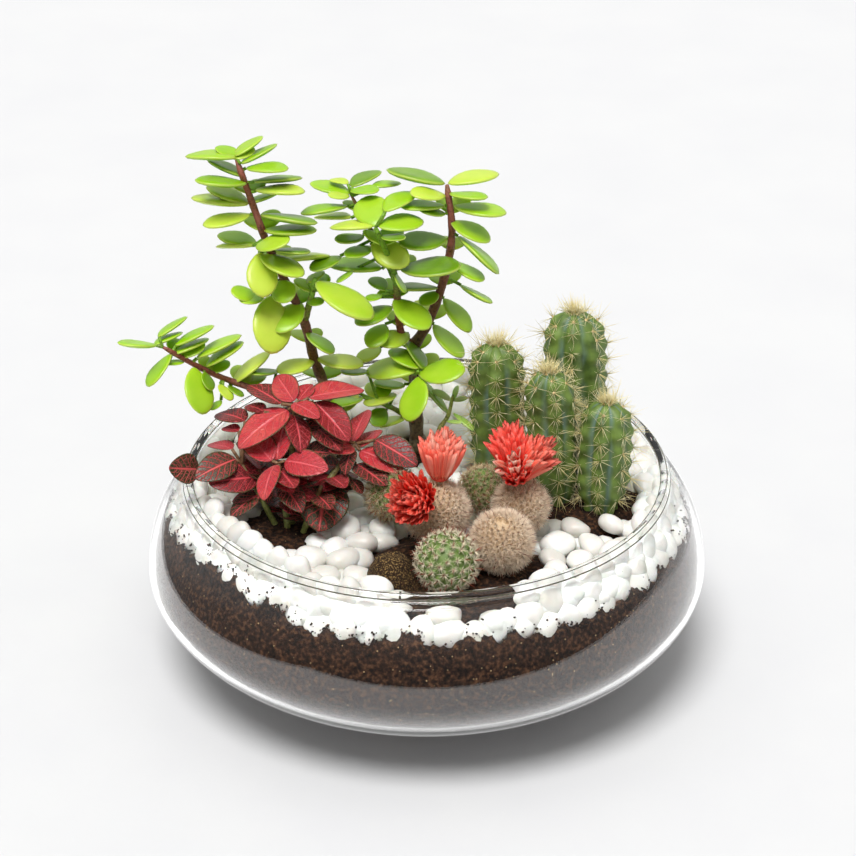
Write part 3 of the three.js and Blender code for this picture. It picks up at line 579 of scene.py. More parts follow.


# Left elephant bush: one springy stem with a low shoot to the left, set with fat round leaves in
# pairs that cross. The bark is brown and turns green at the tips, and the leaf edges are paler, partly
# with a painted glow of light through them.
STEM_SIDES = 10
STEM_STEPS = 5
JOINT_WIDE = 1.12       # how far a stem swells at a joint
STEM_END = 0.6          # share of its thickness that a stem keeps at its end
TWIG_FROM = 5           # picture pixels from the stem at which a leaf gets a twig of its own
TWIG_THICK = 1.3
LEAF_LONG = 17.5
LEAF_BROAD = 0.68
LEAST_LONG, MOST_LONG = 1.08, 1.35      # how long a leaf may be against what is seen of it
RISING = 3              # picture pixels by which a tip is over its root where the leaf points away
LEFT_STEMS = [
    # thick and thin end, youth at each from old wood to green shoot, then the path in millimetres
    (5.0, 2.3, (0.05, 0.8), [(-38, 18, 56), (-38.4, 18, 84), (-39.5, 18, 104), (-44, 18, 119),
                             (-48.4, 18, 138), (-59.5, 18, 164), (-65, 18, 181), (-72, 18, 204)]),
    (1.8, 1.4, (1.1, 1.2), [(-42, 18, 112), (-43, 17.8, 117), (-44, 17.6, 121)]),
    (3.0, 2.0, (1.0, 1.2), [(-47.5, 18, 136), (-44.5, 16, 147), (-43, 14, 156)]),
    (3.1, 1.9, (0.35, 0.8), [(-38.8, 18, 84), (-48, 14, 97), (-61, 10, 107), (-83, 2, 121),
                             (-101, -4, 135.5)]),
]
LEFT_LEAVES = [
    # root x and y, tip x and y, width, all as seen in the picture; tone from dark to pale, partly
    # the leaf's own colour and partly painted light and shade; and for a leaf that lies in front of its
    # stem, how many millimetres
    (236, 156, 261, 138, 8, 0.6), (236, 158, 186, 151, 10, 0.6), (241, 164, 277, 146, 5, 0.4),
    (246, 168, 287, 166, 9, 0.5), (245, 177, 208, 161, 8, 0.2), (247, 183, 195, 184, 10, 0.4),
    (249, 204, 207, 188, 13, 0.75), (249, 204, 192, 200, 9, 0.9), (254, 182, 302, 176, 5, 0.15),
    (255, 190, 304, 188, 8, 0.9), (249, 204, 276, 191, 7, 0.5), (250, 214, 204, 229, 14, 0.9),
    (261, 215, 317, 222, 5, 0.15), (264, 230, 316, 230, 10, 0.55), (257, 246, 219, 232, 16, 0.55),
    (253, 246, 218, 242, 8, 0.9), (256, 246, 287, 239, 15, 0.75, 3.5), (276, 250, 308, 252, 5, 0.15),
    (279, 261, 330, 251, 6, 0.85), (260, 254, 302, 279, 20, 0.75), (261, 252, 263, 297, 32, 0.95),
    (308, 284, 323, 272, 8, 0.7), (316, 281, 372, 318, 26, 0.75), (258, 295, 232, 293, 16, 0.6),
    (263, 295, 241, 304, 14, 0.55), (277, 281, 290, 301, 26, 0.6), (271, 295, 273, 352, 39, 0.95),
    (302, 303, 276, 330, 26, 0.6), (307, 300, 323, 303, 10, 0.15), (308, 332, 332, 351, 12, 0.2),
    (233, 384, 268, 350, 12, 1.0), (314, 360, 278, 372, 16, 1.0), (317, 358, 363, 365, 15, 0.95),
    (277, 370, 252, 376, 9, 0.15), (157, 345, 118, 346, 7, 0.5), (170, 354, 147, 384, 11, 0.5),
    (159, 337, 184, 316, 7, 0.5), (155, 345, 180, 331, 7, 0.5), (175, 346, 213, 324, 8, 0.5),
    (176, 354, 206, 337, 9, 0.6), (197, 358, 240, 333, 10, 0.6), (206, 367, 242, 340, 11, 0.6),
    (168, 365, 183, 360, 7, 0.5), (194, 367, 203, 414, 28, 0.6), (205, 372, 211, 389, 11, 0.15),
    (220, 384, 231, 399, 10, 0.9), (221, 400, 211, 410, 8, 0.5), (229, 385, 241, 398, 8, 0.15),
]
LEFT_HIDDEN_FROM = 110  # height from which hidden leaves grow
HIDDEN_PITCH = 13
HIDDEN_LONG = (9, 14)
HIDDEN_TURN = (0.25, 0.8)
HIDDEN_RISE = (0.1, 0.35)


def curved(points):
    """A smooth run of spots through points given in millimetres."""
    spots = [Vector(point) * MM for point in points]
    ends = [2 * spots[0] - spots[1], *spots, 2 * spots[-1] - spots[-2]]
    run = []
    for a, b, c, d in zip(ends, ends[1:], ends[2:], ends[3:]):
        for step in range(STEM_STEPS):
            t = step / STEM_STEPS
            run.append((2 * b + (c - a) * t + (2 * a - 5 * b + 4 * c - d) * t * t
                        + (3 * b - a - 3 * c + d) * t ** 3) / 2)
    return [*run, spots[-1]]


def add_tube(bm, run, radii, sides, young):
    """A closed tube along spots, with a radius at each and its youth from one end to the other."""
    layer = bm.verts.layers.float.get("young") or bm.verts.layers.float.new("young")
    ways = [(after - before).normalized()
            for before, after in zip([run[0], *run[:-1]], [*run[1:], run[-1]])]
    start = Matrix.Translation(run[0]) @ ways[0].to_track_quat("Z", "X").to_matrix().to_4x4()
    made = bmesh.ops.create_circle(bm, cap_ends=True, segments=sides, radius=radii[0], matrix=start)
    cap = made["verts"][0].link_faces[0]
    for vert in cap.verts:
        vert[layer] = young[0]
    for k in range(1, len(run)):
        grown = bmesh.ops.extrude_face_region(bm, geom=[cap])["geom"]
        cap = next(item for item in grown if isinstance(item, bmesh.types.BMFace))
        move = (Matrix.Translation(run[k]) @ ways[k - 1].rotation_difference(ways[k]).to_matrix().to_4x4()
                @ Matrix.Scale(radii[k] / radii[k - 1], 4) @ Matrix.Translation(-run[k - 1]))
        bmesh.ops.transform(bm, matrix=move, verts=cap.verts)
        for vert in cap.verts:
            vert[layer] = young[0] + (young[1] - young[0]) * k / (len(run) - 1)


def add_stems(bm, stems):
    """Stems from their table, which get thinner and have a swelling every few spots, as leaf joints do."""
    runs = []
    for thick, thin, young, points in stems:
        run = curved(points)
        last = len(run) - 1
        radii = [between(thick, thin, k / last) / 2 * MM * (JOINT_WIDE if k % 3 == 1 else 1)
                 for k in range(last + 1)]
        radii[-1] *= STEM_END
        add_tube(bm, run, radii, STEM_SIDES, young)
        runs.append(run)
    return runs


def blade_shape(name, outline, thick, bend, cup, segments=20, rings=8):
    """A closed blade one unit long and broad. Its half width follows an outline from root to tip."""
    bm = bmesh.new()
    bmesh.ops.create_uvsphere(bm, u_segments=segments, v_segments=rings, radius=1)
    layers = [bm.verts.layers.float.new(layer) for layer in ("along", "across", "rim")]
    for vert in bm.verts:
        share = min(math.hypot(vert.co.x, vert.co.y), 1)
        turn = math.atan2(vert.co.y, vert.co.x)
        along = 0.5 + share * 0.5 * math.cos(turn)
        y = share * math.copysign(outline(0.5 + 0.5 * math.cos(turn)) / 2, math.sin(turn))
        z = math.copysign(thick / 2 * math.sqrt(1 - share ** 3), vert.co.z)
        room = max(outline(along) / 2, 0.02)
        vert.co = (along, y, z - bend * along * along + cup * (2 * y) ** 2)
        for layer, value in zip(layers, (along, y / room, share ** 6)):
            vert[layer] = value
    return new_shape(bm, name)


def placing_of(start, end, normal, broad):
    """Where a blade goes: from its root to its tip, with a face towards a direction."""
    along = end - start
    length = along.length
    along = along / length
    normal = (normal - along * normal.dot(along)).normalized()
    placing = Matrix((along * length, normal.cross(along) * broad, normal * length)).transposed().to_4x4()
    placing.translation = start
    return placing


def seen_blade(runs, bm, seen, usual, broad_share):
    """Where a blade goes that the photograph shows. It grows from the nearest stem. What the view
    shortens it by gives its depth: it points nearer where its tip is lower. The width that is
    seen gives its roll."""
    root, tip, wide = seen[:2], seen[2:4], seen[4]
    joint = min((spot for run in runs for spot in run),
                key=lambda spot: math.dist(pixel_of(spot)[:2], root))
    in_front = len(seen) > 6
    depth = pixel_of(joint)[2] - (seen[6] * MM if in_front else 0)
    start = eye + sight(*root) * depth
    if in_front or math.dist(pixel_of(joint)[:2], root) > TWIG_FROM:
        radius = TWIG_THICK / 2 * MM
        add_tube(bm, [joint, joint.lerp(start, 0.5), start], [radius] * 3, 6, (1.2, 1.2))
    shown = (eye + sight(*tip) * depth - start).length
    length = min(max(LEAST_LONG * shown, usual * MM), MOST_LONG * shown)
    deeper = math.sqrt(length * length - shown * shown)
    if tip[1] >= root[1] - RISING or in_front:
        deeper = -deeper
    end = eye + sight(*tip) * (depth + deeper)
    along = (end - start).normalized()
    toward = (eye - start).normalized()
    facing = (toward - along * toward.dot(along)).normalized()
    side = along.cross(facing)
    broad = max(wide * depth / FOCAL, broad_share * length)
    flat = wide * depth / FOCAL / broad
    turned = math.sqrt(1 - flat * flat)
    normal = max((facing * flat + side * turned, facing * flat - side * turned), key=lambda n: n.z)
    return placing_of(start, end, normal, broad)


def grow_plant(stems, leaves, shapes, usual, broad_share):
    """The leaves and the stems of a plant from its tables, and the runs of the stems."""
    bm, stem_bm = bmesh.new(), bmesh.new()
    runs = add_stems(stem_bm, stems)
    for seen in leaves:
        placing = seen_blade(runs, stem_bm, seen, usual, broad_share)
        add_copy(bm, random.choice(shapes), placing, tone=seen[5])
    bmesh.ops.recalc_face_normals(stem_bm, faces=stem_bm.faces)
    return bm, stem_bm, runs


def ray(turn, rise=0):
    """The direction at a turn about the upright axis."""
    return Vector((math.cos(turn), math.sin(turn), rise))


def add_hidden(bm, shapes, runs, from_height):
    """Leaves on the far side of the stems, which the photograph can't show, in the same rhythm."""
    for run in runs:
        walked = 0
        for before, spot in zip(run, run[1:]):
            walked += (spot - before).length / MM
            if spot.z < from_height * MM or walked < HIDDEN_PITCH:
                continue
            walked = 0
            for side in (-1, 1):
                turn = math.pi / 2 + side * random.uniform(*HIDDEN_TURN)
                length = random.uniform(*HIDDEN_LONG) * MM
                end = spot + ray(turn, random.uniform(*HIDDEN_RISE)) * length
                placing = placing_of(spot, end, Vector((0, 0.2 * side, 1)), LEAF_BROAD * length)
                add_copy(bm, random.choice(shapes), placing, tone=random.uniform(0.45, 0.9))


def bush_outline(share):
    """Half width of an elephant bush leaf: a short wedge at the root and round at the tip."""
    return max(math.sin(math.pi * share ** 1.2), 0) ** 0.52


random.seed(5)
bush_shapes = [blade_shape("bush_leaf", bush_outline, 0.12, bend, cup)
               for bend, cup in ((0.03, 0.02), (0.09, 0.03), (-0.05, 0.04))]


def leaf_look(name, dark, mid, light, rim):
    """A fleshy leaf with a waxy skin. Its tone runs from dark to light, partly its own colour and partly
    painted light and shade; its edge is paler, partly with a painted glow of light through it.
    """
    look = new_look(name, {"Roughness": 0.34, "Subsurface Weight": 0.18, "Subsurface Scale": 0.003,
                           "Subsurface Radius": (0.5, 1.0, 0.2)})
    tone = stored(look, "tone")
    drift = worked(look, "MULTIPLY", grain(look, 9), 0.36)
    shade = worked(look, "ADD", tone, drift)
    shade = worked(look, "SUBTRACT", shade, 0.18)
    # Painted light and shade: a leaf's tone holds both its own shade and how brightly it is lit.
    body = shades(look, shade, (0.05, *dark), (0.5, *mid), (0.98, *light))
    # Painted glow: the paler edge stands partly for light seen through the thin rim of the leaf.
    edged = levels(look, stored(look, "rim"), (0.6, 0), (0.98, 0.75))
    surface(look, mixed(look, edged, body, srgb(*rim)), grain(look, 1.4), 0.05)
    return look


def stem_look(name, *stops):
    """Bark with dark cracks and pale patches that are partly scars and partly a painted highlight. Its
    colours run along the youth of the stem.
    """
    look = new_look(name, {"Roughness": 0.5})
    youth = stored(look, "young")
    patchy = worked(look, "MULTIPLY_ADD", grain(look, 5), 0.4, -0.2)
    youth = worked(look, "ADD", youth, patchy)
    youth = worked(look, "DIVIDE", youth, 1.3)
    skin = shades(look, youth, *stops)
    cracks = levels(look, grain(look, 1.0), (0.32, 0.42, 0.4, 0.38), (0.5, 1))
    skin = mixed(look, 1.0, skin, cracks, "MULTIPLY")
    # Painted highlight: the pale patches stand partly for scars and partly for gloss on the bark.
    scars_and_highlights = levels(look, grain(look, 2.6, 2), (0.6, 0), (0.72, 0.55))
    pale = mixed(look, 1.0, skin, srgb(120, 100, 80), "ADD")
    surface(look, mixed(look, scars_and_highlights, skin, pale), grain(look, 0.8), 0.25)
    return look


bush_look = leaf_look("bush_leaf_skin", (98, 138, 8), (148, 196, 10), (198, 218, 70), (212, 228, 106))
bark_look = stem_look("bush_bark", (0.0, 112, 98, 70), (0.25, 118, 84, 58), (0.6, 150, 80, 66),
                      (0.72, 138, 92, 58), (0.85, 122, 168, 40))
left_bm, left_stem_bm, left_runs = grow_plant(
    LEFT_STEMS, LEFT_LEAVES, bush_shapes, LEAF_LONG, LEAF_BROAD)
add_hidden(left_bm, bush_shapes, left_runs, LEFT_HIDDEN_FROM)
place_piece("left_bush_stems", left_stem_bm, "bush_leaf", "elephant_bush_left", bark_look)
place_piece("left_bush_leaves", left_bm, "bush_leaf", "elephant_bush_left", bush_look)


# Right elephant bush: an older trunk, woody at the foot, that forks low into an upright stem on the
# right, a middle one and one to the upper left, with the same leaves, more crowded inside.
RIGHT_STEMS = [
    (6.2, 4.8, (0.0, 0.2), [(-3, 33, 56), (-4, 32.4, 76), (-4.5, 32, 96), (-5, 31, 121)]),
    (9.5, 6.4, (0.0, 0.0), [(-3, 33, 58), (-3.2, 32.8, 68), (-3.8, 32.5, 78)]),
    (4.4, 2.4, (0.3, 0.85), [(-5, 31, 118), (1, 30, 130), (7, 30, 149), (9.8, 30, 168), (7.8, 30, 188)]),
    (3.4, 2.2, (0.5, 1.4), [(-5.5, 31, 118), (-10.1, 27, 126), (-11.5, 24, 143), (-12.8, 21, 156),
                            (-19.5, 15, 177)]),
    (2.2, 1.4, (1.1, 0.9), [(-12, 23, 150), (-20, 29, 166), (-29, 35, 181)]),
    (2.4, 1.8, (0.8, 1.2), [(-5, 31, 100), (-5, 22, 110), (-3.3, 13, 116)]),
    (2.4, 1.8, (0.8, 1.2), [(-5, 31, 84), (-12, 24, 93), (-19, 16, 101)]),
]
RIGHT_LEAVES = [
    # as for the left bush
    (445, 184, 387, 172, 10, 0.2), (448, 184, 498, 171, 14, 0.9), (450, 193, 486, 201, 9, 0.5),
    (445, 195, 413, 192, 12, 0.9), (445, 206, 402, 204, 9, 0.5), (454, 206, 506, 213, 13, 0.6),
    (445, 213, 420, 210, 9, 0.15), (451, 221, 490, 239, 17, 0.6), (458, 236, 501, 270, 6, 0.4),
    (447, 238, 399, 247, 21, 0.2), (454, 261, 480, 284, 15, 0.55), (461, 285, 489, 305, 6, 0.5),
    (438, 288, 398, 285, 6, 0.15), (437, 291, 422, 305, 15, 0.5), (444, 298, 471, 330, 17, 0.6),
    (434, 324, 460, 360, 18, 0.6), (418, 373, 466, 373, 26, 0.6), (400, 268, 461, 271, 21, 0.1),
    (376, 227, 366, 195, 36, 0.6), (385, 212, 411, 188, 20, 0.55), (373, 227, 330, 223, 10, 0.95),
    (378, 227, 423, 222, 18, 0.6), (363, 235, 337, 244, 13, 0.15), (382, 236, 404, 241, 9, 0.15),
    (371, 244, 408, 263, 28, 0.95, 4), (356, 392, 343, 410, 15, 0.95), (362, 397, 332, 404, 10, 0.3),
    (371, 246, 347, 259, 15, 0.5), (382, 269, 328, 265, 14, 0.5), (340, 256, 312, 268, 12, 0.15),
    (385, 291, 372, 275, 16, 0.15), (396, 273, 402, 293, 8, 0.5),
    (353, 270, 338, 282, 5, 0.5), (394, 299, 428, 331, 27, 0.6), (392, 306, 356, 324, 18, 0.15),
    (382, 295, 366, 299, 7, 0.4), (377, 297, 391, 292, 10, 0.9), (385, 324, 370, 346, 22, 0.6),
    (409, 333, 381, 343, 20, 0.8), (418, 369, 392, 350, 18, 0.55), (422, 369, 412, 339, 16, 0.15),
    (380, 347, 359, 360, 14, 0.9), (417, 371, 365, 366, 24, 0.8), (419, 376, 412, 423, 28, 0.6),
    (404, 384, 375, 387, 12, 0.5), (395, 393, 367, 408, 14, 0.95), (386, 409, 373, 424, 20, 0.15),
    (406, 416, 379, 424, 8, 0.8), (422, 380, 432, 396, 10, 0.5), (367, 370, 342, 375, 10, 0.15),
    (352, 187, 377, 167, 15, 0.15), (350, 194, 311, 184, 12, 0.55), (348, 184, 331, 177, 8, 0.9),
    (351, 190, 377, 189, 8, 0.5), (373, 187, 399, 181, 8, 0.5), (349, 195, 329, 198, 9, 0.9),
    (348, 206, 301, 210, 7, 0.4), (351, 218, 316, 213, 8, 0.9),
]
RIGHT_HIDDEN_FROM = 100
right_bm, right_stem_bm, right_runs = grow_plant(
    RIGHT_STEMS, RIGHT_LEAVES, bush_shapes, LEAF_LONG, LEAF_BROAD)
add_hidden(right_bm, bush_shapes, right_runs, RIGHT_HIDDEN_FROM)
place_piece("right_bush_stems", right_stem_bm, "bush_leaf", "elephant_bush_right", bark_look)
place_piece("right_bush_leaves", right_bm, "bush_leaf", "elephant_bush_right", bush_look)


# Sprig: a young shoot of the same plant, rooted in the mix in front of the trunk. Its stem is soft
# and pale green, with a few long narrow leaves.
SPRIG_STEMS = [(2.3, 1.3, (0.2, 1.2), [(2.5, 12, 62), (4, 11, 88), (8.4, 12, 97), (10.3, 12.5, 106)])]
SPRIG_LEAVES = [
    # as for the left bush
    (449, 414, 421, 383, 6, 0.35), (453, 413, 476, 431, 6, 0.45), (453, 401, 468, 397, 6, 0.8),
    (452, 401, 431, 388, 8, 0.95), (454, 400, 457, 384, 6, 0.6), (446, 421, 462, 424, 4, 0.6),
]
SPRIG_LONG = 12
SPRIG_BROAD = 0.3
sprig_bm, sprig_stem_bm, _ = grow_plant(
    SPRIG_STEMS, SPRIG_LEAVES, bush_shapes, SPRIG_LONG, SPRIG_BROAD)
sprig_look = leaf_look("sprig_leaf_skin", (128, 170, 50), (165, 200, 84), (205, 220, 160), (216, 228, 170))
young_look = stem_look("sprig_skin", (0.1, 128, 120, 66), (0.5, 160, 156, 84), (0.9, 180, 200, 100))
place_piece("sprig_stem", sprig_stem_bm, "sprig_leaf", "sprig", young_look)
place_piece("sprig_leaves", sprig_bm, "sprig_leaf", "sprig", sprig_look)


# Nerve plant: soft creeping stems that end in rosettes of thin pointed leaves. Young leaves are
# rose pink with darker cells between the veins. Old ones are olive with a net of pink veins.
NERVE_LONG = 19
NERVE_BROAD = 0.66
VEIN_PITCH = 0.075      # in lengths of a leaf
NERVE_STEMS = [
    (2.8, 2.0, (0, 1), [(-53, -31, 62), (-54.5, -31, 84), (-56.5, -30, 99)]),
    (2.8, 1.8, (0, 1), [(-52, -30, 62), (-52, -22, 92), (-50.5, -13, 115)]),
    (2.8, 1.8, (0, 1), [(-50, -32, 62), (-42, -29, 83), (-27.6, -20, 102)]),
    (2.6, 1.8, (0, 1), [(-54, -30, 62), (-63, -26, 80), (-71, -20, 93)]),
    (2.6, 1.8, (0, 1), [(-50, -33, 62), (-44.5, -34, 80), (-40, -33, 91)]),
]
NERVE_LEAVES = [
    # root x and y, tip x and y, width, all as seen in the picture; age from pink to olive
    (294, 401, 276, 374, 29, 0.05), (309, 398, 364, 387, 20, 0.0), (299, 400, 312, 383, 17, 0.1),
    (281, 404, 248, 383, 22, 0.6), (314, 402, 350, 440, 29, 0.4), (288, 410, 236, 440, 28, 0.0),
    (293, 414, 304, 447, 25, 0.45), (293, 403, 318, 413, 17, 0.05), (278, 460, 281, 415, 27, 0.0),
    (272, 461, 244, 431, 31, 0.05), (261, 470, 240, 440, 18, 0.3), (259, 477, 210, 481, 31, 0.5),
    (285, 461, 324, 465, 28, 0.1), (275, 465, 260, 495, 18, 0.05), (274, 473, 293, 490, 20, 0.1),
    (245, 421, 215, 407, 21, 0.55), (232, 449, 208, 441, 13, 0.2), (239, 431, 222, 427, 10, 0.3),
    (264, 412, 245, 401, 15, 0.5), (199, 469, 170, 468, 31, 1.0), (236, 459, 197, 474, 29, 0.9),
    (353, 442, 366, 408, 22, 0.0), (360, 447, 378, 424, 17, 0.2), (360, 451, 403, 466, 23, 0.05),
    (375, 440, 417, 463, 30, 0.7), (354, 447, 330, 449, 16, 0.1), (315, 428, 341, 445, 19, 0.6),
    (356, 464, 386, 484, 23, 0.75), (326, 480, 319, 531, 53, 1.0), (352, 450, 343, 471, 15, 0.8),
    (309, 411, 329, 422, 13, 0.3), (286, 470, 312, 477, 11, 0.3), (351, 479, 362, 492, 12, 0.9),
    (262, 481, 270, 500, 13, 0.9), (303, 452, 330, 452, 20, 0.85), (330, 432, 330, 402, 22, 0.8),
]
NERVE_INNER = 78        # small leaves between those that the photograph shows
NERVE_INNER_LONG = (10, 16)


def nerve_outline(share):
    """Half width of a nerve plant leaf: full and round, with a short point at the tip."""
    return max(math.sin(math.pi * share ** 0.85), 0) ** 0.62


nerve_shapes = [blade_shape("nerve_leaf", nerve_outline, 0.045, bend, cup, 24, 10)
                for bend, cup in ((0.10, 0.06), (0.18, 0.04), (0.05, 0.09))]
nerve_bm, nerve_stem_bm, nerve_runs = grow_plant(
    NERVE_STEMS, NERVE_LEAVES, nerve_shapes, NERVE_LONG, NERVE_BROAD)
for number in range(NERVE_INNER):
    run = nerve_runs[number % len(nerve_runs)]
    share = random.uniform(0.42, 0.95)
    joint = run[round(share * (len(run) - 1))]
    turn = random.uniform(0.05, 0.95) * math.pi if number % 3 else random.uniform(0, 2 * math.pi)
    long = random.uniform(*NERVE_INNER_LONG) * MM
    end = joint + ray(turn, random.uniform(-0.35, 0.25)) * long
    placing = placing_of(joint, end, Vector((0, -0.2, 1)), NERVE_BROAD * long)
    add_copy(nerve_bm, random.choice(nerve_shapes), placing, tone=random.uniform(0.4, 1.0))

nerve_look = new_look("nerve_leaf_skin", {"Roughness": 0.42, "Subsurface Weight": 0.1,
                                          "Subsurface Scale": 0.002})
age = stored(nerve_look, "tone")
along = stored(nerve_look, "along")
out = worked(nerve_look, "ABSOLUTE", stored(nerve_look, "across"))
sweep = worked(nerve_look, "MULTIPLY_ADD", out, -0.3, along)
wobble = worked(nerve_look, "MULTIPLY_ADD", grain(nerve_look, 3), 0.08, sweep)
waves = worked(nerve_look, "MULTIPLY", wobble, 1 / VEIN_PITCH)
tooth = worked(nerve_look, "PINGPONG", waves, 1.0)
side_vein = levels(nerve_look, tooth, (0.02, 1), (0.26, 0))
mid_vein = levels(nerve_look, out, (0.03, 1), (0.12, 0))
net_inputs = {"Vector": place_of(nerve_look), "Scale": 640, "Randomness": 1}
net = add_node(nerve_look, "TexVoronoi", net_inputs, feature="DISTANCE_TO_EDGE").outputs["Distance"]
net_vein = levels(nerve_look, net, (0.02, 0.6), (0.075, 0))
veins = worked(nerve_look, "MAXIMUM", side_vein, mid_vein)
veins = worked(nerve_look, "MAXIMUM", veins, net_vein)
cells = shades(nerve_look, age, (0.0, 196, 46, 56), (0.25, 176, 36, 46), (0.5, 108, 28, 28),
               (0.75, 64, 42, 26), (1.0, 52, 58, 28))
lines = shades(nerve_look, age, (0.0, 222, 92, 98), (0.5, 212, 70, 78), (1.0, 214, 84, 84))
leaf_colour = mixed(nerve_look, veins, cells, lines)
bright = worked(nerve_look, "SUBTRACT", grain(nerve_look, 7, 1), age)
bright = levels(nerve_look, bright, (0.42, 0), (0.62, 0.7))
leaf_colour = mixed(nerve_look, bright, leaf_colour, srgb(214, 84, 80))
margin = levels(nerve_look, out, (0.86, 0), (0.96, 0.9))
leaf_colour = mixed(nerve_look, margin, leaf_colour, srgb(66, 70, 32))
surface(nerve_look, leaf_colour, worked(nerve_look, "SUBTRACT", 1.0, veins), 0.35)
nerve_stem_look = stem_look("nerve_stem_skin", (0.0, 140, 150, 84), (0.4, 130, 136, 70), (0.8, 130, 96, 66))
place_piece("nerve_stems", nerve_stem_bm, "nerve_leaf", "nerve_plant", nerve_stem_look)
place_piece("nerve_leaves", nerve_bm, "nerve_leaf", "nerve_plant", nerve_look)


# Column cacti: four upright stems with seven ribs, round at the top. A waxy bloom greys the grooves.
# Each crest has a row of felted cushions with a star of straw-yellow spines, and each crown ends in
# a dense tuft of them.
RIBS = 7
RIB_DEEP = 0.26
COLUMN_FOOT = 6.2
COLUMN_AROUND = 84
COLUMN_UP = 56
CUSHION_PITCH = 6.8
SWELLING = 0.55         # how far a rib swells out at a cushion
FOOT_LONG = 16          # how far up the narrow foot grows into the body
DOME = 1.25             # height of the dome, in radii
CROWN_FROM = 9          # how far below the top the cushions stand closer together
YOUNG_TUFTS = 6
CROWN_WIDE = 1.9        # how far from the middle of the crown the youngest tufts stand
CROWN_SUNK = 0.8        # how far below the top the tuft stands and the cushions end
FIRST_CUSHION = 8       # how far above the foot the cushions start
SKIN_UNEVEN = (9, 0.3)
CENTRAL_LEAN = (0.1, 0.8)
CENTRAL_LONG = 1.25     # in lengths of an outer spine
COLUMNS = [
    # name, foot x y z, top x y z, radius, turn of the ribs
    ("left", (29, 8, 64), (26.8, 8, 131), 11, 0.2),
    ("back", (58.9, 16, 64), (57.5, 18, 139.5), 12.4, 0.1),
    ("middle", (50.5, -9.5, 64), (46.8, -8, 127), 9.8, 0.4),
    ("right", (67.4, -15, 64), (69.2, -12, 116), 10.6, 0),
]


def column_radius(height, foot, top, radius):
    """Radius of a column over its height: a narrow foot, a straight body and a domed top."""
    swell = min(max((height - foot - 4) / FOOT_LONG, 0), 1)
    grown = COLUMN_FOOT + (radius - COLUMN_FOOT) * swell * swell * (3 - 2 * swell)
    dome = max((height - (top - DOME * radius)) / (DOME * radius), 0)
    return grown * max(1 - dome ** 2.3, 0) ** (1 / 2.1)


def rib_share(turn):
    """How far out the skin is at a turn: 1 on a crest, less in the sharp grooves between."""
    return 1 - RIB_DEEP * (1 - abs(math.cos(RIBS * turn / 2)) ** 0.8)


def spine_star(name, radial, central, reach, splay, thick, wool):
    """A felted cushion with a star of outer spines and some longer central ones, in millimetres."""
    bm = bmesh.new()
    bmesh.ops.create_icosphere(bm, subdivisions=1, radius=wool, matrix=Matrix.Diagonal((1, 1, 0.7, 1)))
    for face in bm.faces:
        face.material_index = 1
    for number in range(radial + central):
        lean = random.uniform(*(splay if number < radial else CENTRAL_LEAN))
        long = random.uniform(*reach) * (1 if number < radial else CENTRAL_LONG)
        turn = 2 * math.pi * (number + random.uniform(-0.3, 0.3)) / radial
        way = (Matrix.Rotation(turn, 4, "Z") @ Matrix.Rotation(lean, 4, "Y")
               @ Matrix.Translation((0, 0, long / 2)))
        made = bmesh.ops.create_cone(bm, cap_ends=True, segments=3, radius1=thick, radius2=thick * 0.2,
                                     depth=long, matrix=way)
        for face in {face for vert in made["verts"] for face in vert.link_faces}:
            face.material_index = 2 if number < radial else 3
    return new_shape(bm, name)


def placed_on(spot, out, size=1.0):
    """Where something stands on a surface, turned at random about the way out."""
    return (Matrix.Translation(spot) @ out.to_track_quat("Z", "Y").to_matrix().to_4x4()
            @ Matrix.Rotation(random.uniform(0, 2 * math.pi), 4, "Z") @ Matrix.Scale(size * MM, 4))


def plain_look(name, one, other, size, roughness):
    """A material that drifts between two colours."""
    look = new_look(name, {"Roughness": roughness})
    surface(look, mixed(look, grain(look, size), srgb(*one), srgb(*other)), grain(look, size / 4), 0.1)
    return look


random.seed(21)
column_stars = [spine_star("column_star", 9, 4, (4.0, 7.4), (0.75, 1.4), 0.13, 0.7) for kind in range(5)]
crown_tufts = [spine_star("crown_tuft", 22, 10, (4.0, 7.5), (0.15, 0.8), 0.12, 1.5) for kind in range(2)]
straw_look = plain_look("straw_spine", (236, 222, 160), (250, 242, 204), 2, 0.45)
felt_look = plain_look("felt_cushion", (226, 190, 130), (248, 228, 186), 1.5, 0.9)
long_spine_look = plain_look("long_spine", (228, 206, 130), (246, 232, 176), 2, 0.45)
column_look = new_look("column_skin", {"Roughness": 0.5})
skin = shades(column_look, grain(column_look, 6), (0.3, 74, 98, 40), (0.7, 122, 148, 66))
bloom = levels(column_look, stored(column_look, "groove"), (0.35, 0), (0.8, 0.8))
patches = levels(column_look, grain(column_look, 13, 2), (0.4, 0), (0.6, 1))
bloom = worked(column_look, "MULTIPLY", bloom, patches)
skin = mixed(column_look, bloom, skin, srgb(112, 140, 126))
surface(column_look, skin, grain(column_look, 1.2), 0.12)
